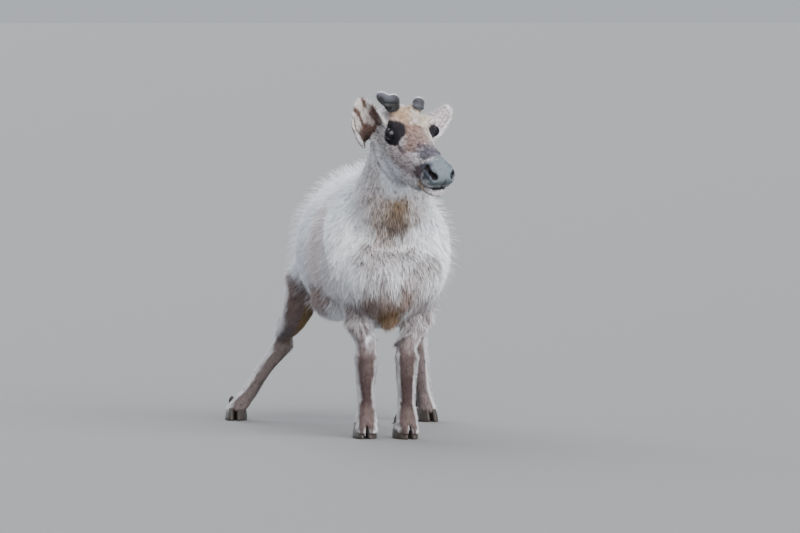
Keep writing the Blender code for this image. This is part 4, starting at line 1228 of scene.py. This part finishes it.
specks = tufts.noise(spot + (7.7, 2.9, 4.1), 150.0, 1.0)
speckled = (specks + chance(-0.04, 0.04, 5)).above(0.70 - named("fleck") * 0.45)
dark = 1.0 - speckled * chance(0.35, 0.72, 6)
tone_value = chance(0.84, 1.12, 7) * (fine_lumps * 0.5 + 0.75) * dark

placed = tuft_tree.nodes.new("GeometryNodeInstanceOnPoints")
pick = tufts.add("FunctionNodeRandomValue", {"data_type": "INT"},
                 {4: 0, 5: len(BENDS) - 1, 8: given["Seed"]}, 2)
roots = kept(roots, "tone", tone_value)
roots = kept(roots, "root", spot, "FLOAT_VECTOR")
roots = kept(roots, "root_normal", root_normal, "FLOAT_VECTOR")
for name, value in {"Points": roots, "Instance": Wire(tufts, blades.outputs[0]), "Pick Instance": True,
                    "Instance Index": pick, "Rotation": turned, "Scale": size}.items():
    tufts.feed(placed.inputs[name], value)
whole = tufts.add("GeometryNodeRealizeInstances", {}, {"Geometry": Wire(tufts, placed.outputs[0])})
whole = tufts.add("GeometryNodeSetShadeSmooth", {}, {"Geometry": whole})
whole = tufts.add("GeometryNodeSetMaterial", {}, {"Geometry": whole, "Material": given["Material"]})
group_out = tuft_tree.nodes.new("NodeGroupOutput")
tuft_tree.links.new(whole.socket, group_out.inputs[0])
say("the tuft tree has", len(tuft_tree.nodes), "nodes")

# %% [markdown]
# Each tuft needs a place on a flat sheet, so that a baked picture can hold its colour. A limb
# unrolls like a tube: the angle round it gives one coordinate and the way along it the other.
# Its ends, such as the chest, unfold outwards.

# %% Unroll the roots of the tufts
PATCH = 0.003


def read(mesh, name, width):
    """A named attribute's values as rows."""
    found = np.empty(len(mesh.vertices) * width, np.float32)
    mesh.attributes[name].data.foreach_get("vector" if width == 3 else "value", found)
    return found.reshape(-1, width) if width > 1 else found


def unrolled(roots, outward, spines):
    """Flat places from 0 to 1 of roots that grow on one or more limbs."""
    gap = np.full(len(roots), np.inf)
    sheet = np.zeros((len(roots), 2))
    for number, spine in enumerate(spines):
        distance, travel, offset, way = along_limb(roots, spine)
        side_way = unit(np.cross(way, (0.13, -0.21, 0.97)))
        front_way = np.cross(side_way, way)
        angle = np.arctan2(np.sum(offset * side_way, axis=1), np.sum(offset * front_way, axis=1))
        reach = np.percentile(distance, 60)
        cap = np.sum(outward * way, axis=1) * np.maximum(reach - distance, 0.0)
        nearer = distance < gap
        gap[nearer] = distance[nearer]
        turn = (angle / math.tau + 0.5) * 0.98 + 0.01
        sheet[nearer, 0] = (number + turn[nearer]) / len(spines)
        sheet[nearer, 1] = (travel + cap)[nearer]
    low, high = sheet.min(axis=0), sheet.max(axis=0)
    return 0.005 + 0.99 * (sheet - low) / np.maximum(high - low, 1e-6)


def lay_bake_map(mesh, spines):
    """Gives every tuft a small patch on the unrolled sheet at its root's place."""
    flat = unrolled(read(mesh, "root", 3).astype(float), read(mesh, "root_normal", 3).astype(float), spines)
    flat[:, 0] += read(mesh, "across", 1) * PATCH
    flat[:, 1] += (read(mesh, "along", 1) - 0.5) * PATCH
    corners = np.empty(len(mesh.loops), np.int32)
    mesh.loops.foreach_get("vertex_index", corners)
    layer = mesh.uv_layers.new(name="OFBake")
    layer.uv.foreach_set("vector", np.clip(flat[corners], 0.0, 1.0).astype(np.float32).ravel())


print("each tuft gets a patch", PATCH, "of the sheet's width")

# %% [markdown]
# Fur takes its light from the form under it more than from each hair, so the tufts' shading
# directions are blended with the skin's. Tufts that face another way keep their own.

# %% Grow one piece of coat
SHARE_OF_SKIN = 0.66
SPARE = ("across", "area_", "fleck", "fur_", "lie", "root")
coat_count = 0


def soften_shading(mesh):
    """Blends the shading direction of each tuft with that of the skin at its root."""
    own, under = normals(mesh), read(mesh, "root_normal", 3).astype(float)
    share = SHARE_OF_SKIN * ramp(np.sum(own * under, axis=1), 0.15, 0.3)[:, None]
    mesh.normals_split_custom_set_from_vertices(unit(own * (1.0 - share) + under * share))


def expected_share(source, area):
    """The square metres of a mesh that an area covers, counted by how thick the fur is."""
    thick = read(source, "fur_thick", 1) * read(source, area, 1)
    triangles = np.empty(len(source.loop_triangles) * 3, np.int32)
    source.loop_triangles.foreach_get("vertices", triangles)
    areas = np.empty(len(source.loop_triangles), np.float32)
    source.loop_triangles.foreach_get("area", areas)
    return max(float((areas * thick[triangles.reshape(-1, 3)].mean(axis=1)).sum()), 1e-9)


def grow(name, source, area, count, steps, spines, seed, finish, settings):
    """Grows one piece of coat with about `count` tufts from a mesh with fur attributes."""
    global coat_count
    thing = new_object(name + "_source", source)
    modifier = thing.modifiers.new("Tufts", "NODES")
    modifier.node_group = tuft_tree
    values = {"Area": area, "Per Square Metre": count / expected_share(source, area), "Seed": seed,
              "Rows": steps, "Material": finish, **settings}
    for key, value in values.items():
        modifier[tuft_sockets[key].identifier] = value
    mesh = made_plain(thing)
    bpy.data.objects.remove(thing)
    lay_bake_map(mesh, spines)
    soften_shading(mesh)
    for spare in [made.name for made in mesh.attributes if made.name.startswith(SPARE)]:
        mesh.attributes.remove(mesh.attributes[spare])
    mesh.name = name
    piece = new_object(name, mesh)
    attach(piece, "root")
    coat_count += len(mesh.polygons)
    say(name, "has", len(mesh.polygons), "faces")


# %% [markdown]
# The coat is grown in pieces, because one piece with every tuft would be too heavy to handle.
# Each piece has its area on the skin. Guard hairs are the few long hairs that stand out of the
# coat, and whiskers are the same on the lips and chin.

# %% The areas of the coat's pieces
MIDDLE_Y = 0.34
AREAS = {"area_head": is_part["head"], "area_ears": ear_any, "area_neck": is_part["neck"],
         "area_tail": is_part["tail"], "area_forelegs": leg_points["fore"],
         "area_hindlegs": leg_points["hind"]}
for side, sign in SIDES.items():
    this_side = is_part["trunk"] & (x * sign >= 0.0)
    AREAS["area_front_" + side] = this_side & (y < MIDDLE_Y)
    AREAS["area_rear_" + side] = this_side & (y >= MIDDLE_Y)
AREAS["area_guard"] = on_trunk * ramp(outward[:, 2], -0.55, 0.5) * (1.0 - throat)
on_lips = near_spot(places, (0.30, 0.0, -0.05), (0.04, 0.05, 0.03))
AREAS["area_whiskers"] = np.maximum(chin, 0.25 * on_lips * head_only)
store(skin_mesh, **AREAS)
skin_mesh.calc_loop_triangles()
print("the coat has", len(AREAS), "areas")

# %% [markdown]
# The table gives for each piece its area, its number of tufts, the rows of points in a blade, the
# lines it unrolls round, its seed, and what it asks of the tuft tree.

# %% Grow the coat
TRUNK_FUR, LEG_FUR = {"Clump": 0.6}, {"Clump": 0.5, "Clump Size": 0.014}
COAT = (
    ("coat_head", "head", 52000, 3, ["head"], 11, {"Clump": 0.45, "Clump Size": 0.012}),
    ("coat_ears", "ears", 15000, 3, ["ear_left", "ear_right"], 12, {"Clump": 0.5, "Clump Size": 0.010}),
    ("coat_neck", "neck", 36000, 4, ["neck"], 13, TRUNK_FUR),
    ("coat_front_left", "front_left", 36000, 4, ["trunk"], 14, TRUNK_FUR),
    ("coat_rear_left", "rear_left", 33000, 4, ["trunk"], 16, TRUNK_FUR),
    ("coat_front_right", "front_right", 36000, 4, ["trunk"], 15, TRUNK_FUR),
    ("coat_rear_right", "rear_right", 33000, 4, ["trunk"], 17, TRUNK_FUR),
    ("coat_tail", "tail", 4000, 4, ["tail"], 18, {}),
    ("coat_forelegs", "forelegs", 48000, 3, ["foreleg_left", "foreleg_right"], 19, LEG_FUR),
    ("coat_hindlegs", "hindlegs", 55000, 3, ["hindleg_left", "hindleg_right"], 20, LEG_FUR),
    ("guard_hairs", "guard", 5000, 4, ["trunk"], 21,
     {"Clump": 1.8, "Stand": 3.0, "Length": 0.85, "Breadth": 0.30}),
    ("whiskers", "whiskers", 260, 4, ["head"], 22,
     {"Clump": 1.2, "Stand": 5.0, "Length": 2.4, "Breadth": 0.30}),
)
for name, area, count, steps, lines, seed, settings in COAT:
    spines = [FLOW[line] for line in lines]
    grow(name, skin_mesh, "area_" + area, count, steps, spines, seed, fur_finish, settings)
print("the tufts have", coat_count, "faces in all")

skin = new_object("skin", skin_mesh)
skin.data.shade_smooth()
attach(skin, "root")
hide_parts(*FLESH)

# %% [markdown]
# ## Eyes
# The eyeball is a smooth ball with a slightly raised cornea. A reindeer's eye is nearly black, with
# a very dark brown iris and a pupil that is an oval lying on its side. A clear coat makes it wet.

# %% Eyes
CORNEA_RISE, CORNEA_START, CORNEA_FADE = 0.0010, 0.0115, 0.006
IRIS_EDGE, PUPIL_EDGE = (0.0100, 0.0118), (0.0062, 0.0074)
PUPIL_SHAPE = (1.0, 1.75, 0.0)

eye_finish, eye_sheet, eye_inputs = finish_sheet("eye_wet", 0.25, 0.1, Coat_Weight=0.6, Coat_IOR=1.33,
                                                 Coat_Roughness=0.11)


def within(gap, edge):
    """One inside an edge and nought beyond it, with a short fade between."""
    return eye_sheet.add("ShaderNodeMapRange", {}, {0: gap, 1: edge[0], 2: edge[1], 3: 1.0, 4: 0.0})


gaze = eye_sheet.attribute("gaze")
in_iris = within((gaze * (1.0, 1.0, 0.0)).length(), IRIS_EDGE)
in_pupil = within((gaze * PUPIL_SHAPE).length(), PUPIL_EDGE)
ball_colour = eye_sheet.blend(tint(20, 19, 23), tint(30, 27, 33), in_iris)
eye_sheet.feed(eye_inputs["Base Color"], eye_sheet.blend(ball_colour, tint(8, 9, 14), in_pupil))

for side in SIDES:
    centre, look, long_way, rise_way = eye_frame(side)
    axes = np.array([long_way, rise_way, look])
    ball = bmesh.new()
    bmesh.ops.create_uvsphere(ball, u_segments=48, v_segments=32, radius=EYE_RADIUS)
    mesh = bpy.data.meshes.new("eye_" + side + "_ball")
    ball.to_mesh(mesh)
    ball.free()
    raw = positions(mesh)
    raw *= (1.0 + CORNEA_RISE / EYE_RADIUS * ramp(raw[:, 2], CORNEA_START, CORNEA_FADE))[:, None]
    store(mesh, gaze=raw)
    place_points(mesh, np.array(CROWN) + (centre + raw @ axes) @ HEAD_AXES)
    if SIDES[side] * np.linalg.det(axes @ HEAD_AXES) < 0:
        mesh.flip_normals()
    mesh.shade_smooth()
    mesh.materials.append(eye_finish)
    eye = new_object("eyeball_" + side, mesh)
    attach(eye, "root")
    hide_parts("eye_" + side)
    centre_gap = (positions(mesh).mean(axis=0) - np.array(middle("eye_" + side))) * 1000
    print("eye", side, "is off its solid by", np.round(centre_gap, 2), "mm")

# %% [markdown]
# ## Antler buds and hooves
# New antlers are soft stubs in velvet: a short dense fur that stands straight out. A voxel remesh
# rounds each stub, noise makes it knobbly, and tufts with a nap of their own grow from it. The side
# of the stubs that turns away is painted pale, a painted rim light for the light from behind that catches
# the nap.

# %% Antler buds
BUD_SHRINK, BUD_VOXEL = -0.0030, 0.0020
BUD_KNOBS = 0.0022
BUD_FUR = {"fur_long": 0.0030, "fur_rise": 0.0052, "fur_broad": 0.0010, "fleck": 0.1, "area_bud": 1.0}
AWAY_SIDE = np.array((0.19, 0.90, 0.40))

bud_finish, bud_sheet, bud_inputs = finish_sheet("velvet", 0.9, 0.15, Sheen_Weight=0.3)
nap = bud_sheet.noise(bud_sheet.here(), 260.0, 3.0)
patches = bud_sheet.noise(bud_sheet.here(), 45.0, 2.0)
bud_colour = bud_sheet.blend(tint(22, 21, 25), tint(48, 48, 55), patches)
bud_sheet.feed(bud_inputs["Base Color"], bud_colour * (nap * 0.6 + 0.6))
bud_sheet.feed(bud_inputs["Normal"], bud_sheet.bump(nap, 0.5, 0.0015))

nap_finish, nap_sheet, nap_inputs = finish_sheet("velvet_nap", 0.85, 0.1, Sheen_Weight=0.3)
# The nap's tips are painted a little paler: painted rim light.
painted_tip_light = nap_sheet.attribute("along", "Fac") ** 3.0 * 0.14
nap_colour = nap_sheet.blend(nap_sheet.attribute("markings"), tint(206, 208, 218), painted_tip_light)
nap_sheet.feed(nap_inputs["Base Color"], nap_colour)

for side in SIDES:
    mesh = voxel_wrapped(gathered([("antler_bud_" + side, BUD_SHRINK)]), BUD_VOXEL)
    bud_rows = spread(positions(mesh), edges_of(mesh), 5)
    bud_rows += normals(mesh) * (lattice_noise(bud_rows, 0.014, 31) - 0.5)[:, None] * BUD_KNOBS
    place_points(mesh, bud_rows)
    top, foot = bud_rows[bud_rows[:, 2].argmax()], bud_rows[bud_rows[:, 2].argmin()]
    paler = ease(0.5 - (bud_rows[:, 0] - np.median(bud_rows[:, 0])) / 0.050)
    shade = (0.35 * lattice_noise(bud_rows, 0.012, 33) + 0.65 * paler)[:, None]
    velvet = tint(22, 20, 24) * (1.0 - shade) + tint(88, 90, 99) * shade
    # The side that turns towards the light from behind is painted pale: painted rim light.
    painted_rim_light = ramp(normals(mesh) @ AWAY_SIDE, -0.16, 0.34)[:, None]
    velvet += (tint(214, 214, 222) - velvet) * painted_rim_light * 0.95
    store(mesh, lie=np.tile((0.0, 0.25, 1.0), (len(bud_rows), 1)), markings=velvet,
          fur_thick=ramp(bud_rows[:, 2], foot[2], 0.006),
          **{name: np.full(len(bud_rows), value) for name, value in BUD_FUR.items()})
    mesh.materials.clear()
    mesh.materials.append(bud_finish)
    mesh.calc_loop_triangles()
    grow("velvet_" + side, mesh, "area_bud", 11000, 3, [[tuple(foot), tuple(top)]], 40,
         nap_finish, {"Clump": 0.8, "Clump Size": 0.008})
    mesh.shade_smooth()
    bud = new_object("bud_" + side, mesh)
    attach(bud, "root")
    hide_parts("antler_bud_" + side)

# %% [markdown]
# The hooves and dewclaws are horn, with faint growth rings that run round them like the rings of a
# nail. Rings are noise that changes quickly with height and slowly to the sides. The soles stay
# flat on the floor.

# %% Hooves and dewclaws
SOLE_THICK = 0.0012
HOOF_VOXEL, CLAW_VOXEL = 0.0016, 0.0010
RING_SCALE = (60.0, 60.0, 700.0)

horn_finish, horn_sheet, horn_inputs = finish_sheet("horn", 0.5, 0.4)
rings = horn_sheet.noise(horn_sheet.here() * RING_SCALE, 1.0, 2.0)
worn = horn_sheet.noise(horn_sheet.here(), 70.0, 4.0)
horn_colour = horn_sheet.blend(tint(30, 27, 26), tint(66, 59, 55), worn)
horn_sheet.feed(horn_inputs["Base Color"], horn_colour * (rings * 0.5 + 0.7))
horn_sheet.feed(horn_inputs["Roughness"], worn * 0.3 + 0.38)
horn_sheet.feed(horn_inputs["Normal"], horn_sheet.bump(rings, 0.35, 0.0008))

for node in HORNY + CLAWS:
    mesh = voxel_wrapped(gathered([(node, 0.0)]), HOOF_VOXEL if node in HORNY else CLAW_VOXEL)
    horn_rows = positions(mesh)
    smooth_rows = spread(horn_rows, edges_of(mesh), 4)
    smooth_rows[horn_rows[:, 2] < SOLE_THICK, 2] = 0.0
    smooth_rows[:, 2] = np.maximum(smooth_rows[:, 2], 0.0)
    place_points(mesh, smooth_rows)
    mesh.materials.clear()
    mesh.materials.append(horn_finish)
    mesh.shade_smooth()
    horn = new_object(node.replace("hoof", "horn").replace("dewclaw", "claw"), mesh)
    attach(horn, "root")
    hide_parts(node)
say("the hooves and dewclaws are made")

# %% [markdown]
# Last, the size of the box round the dressed model is measured and printed.

# %% Measure the dressed model's box and finish
visual_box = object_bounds()
say("the visual model spans", [round(high - low, 3) for low, high in zip(*visual_box)])
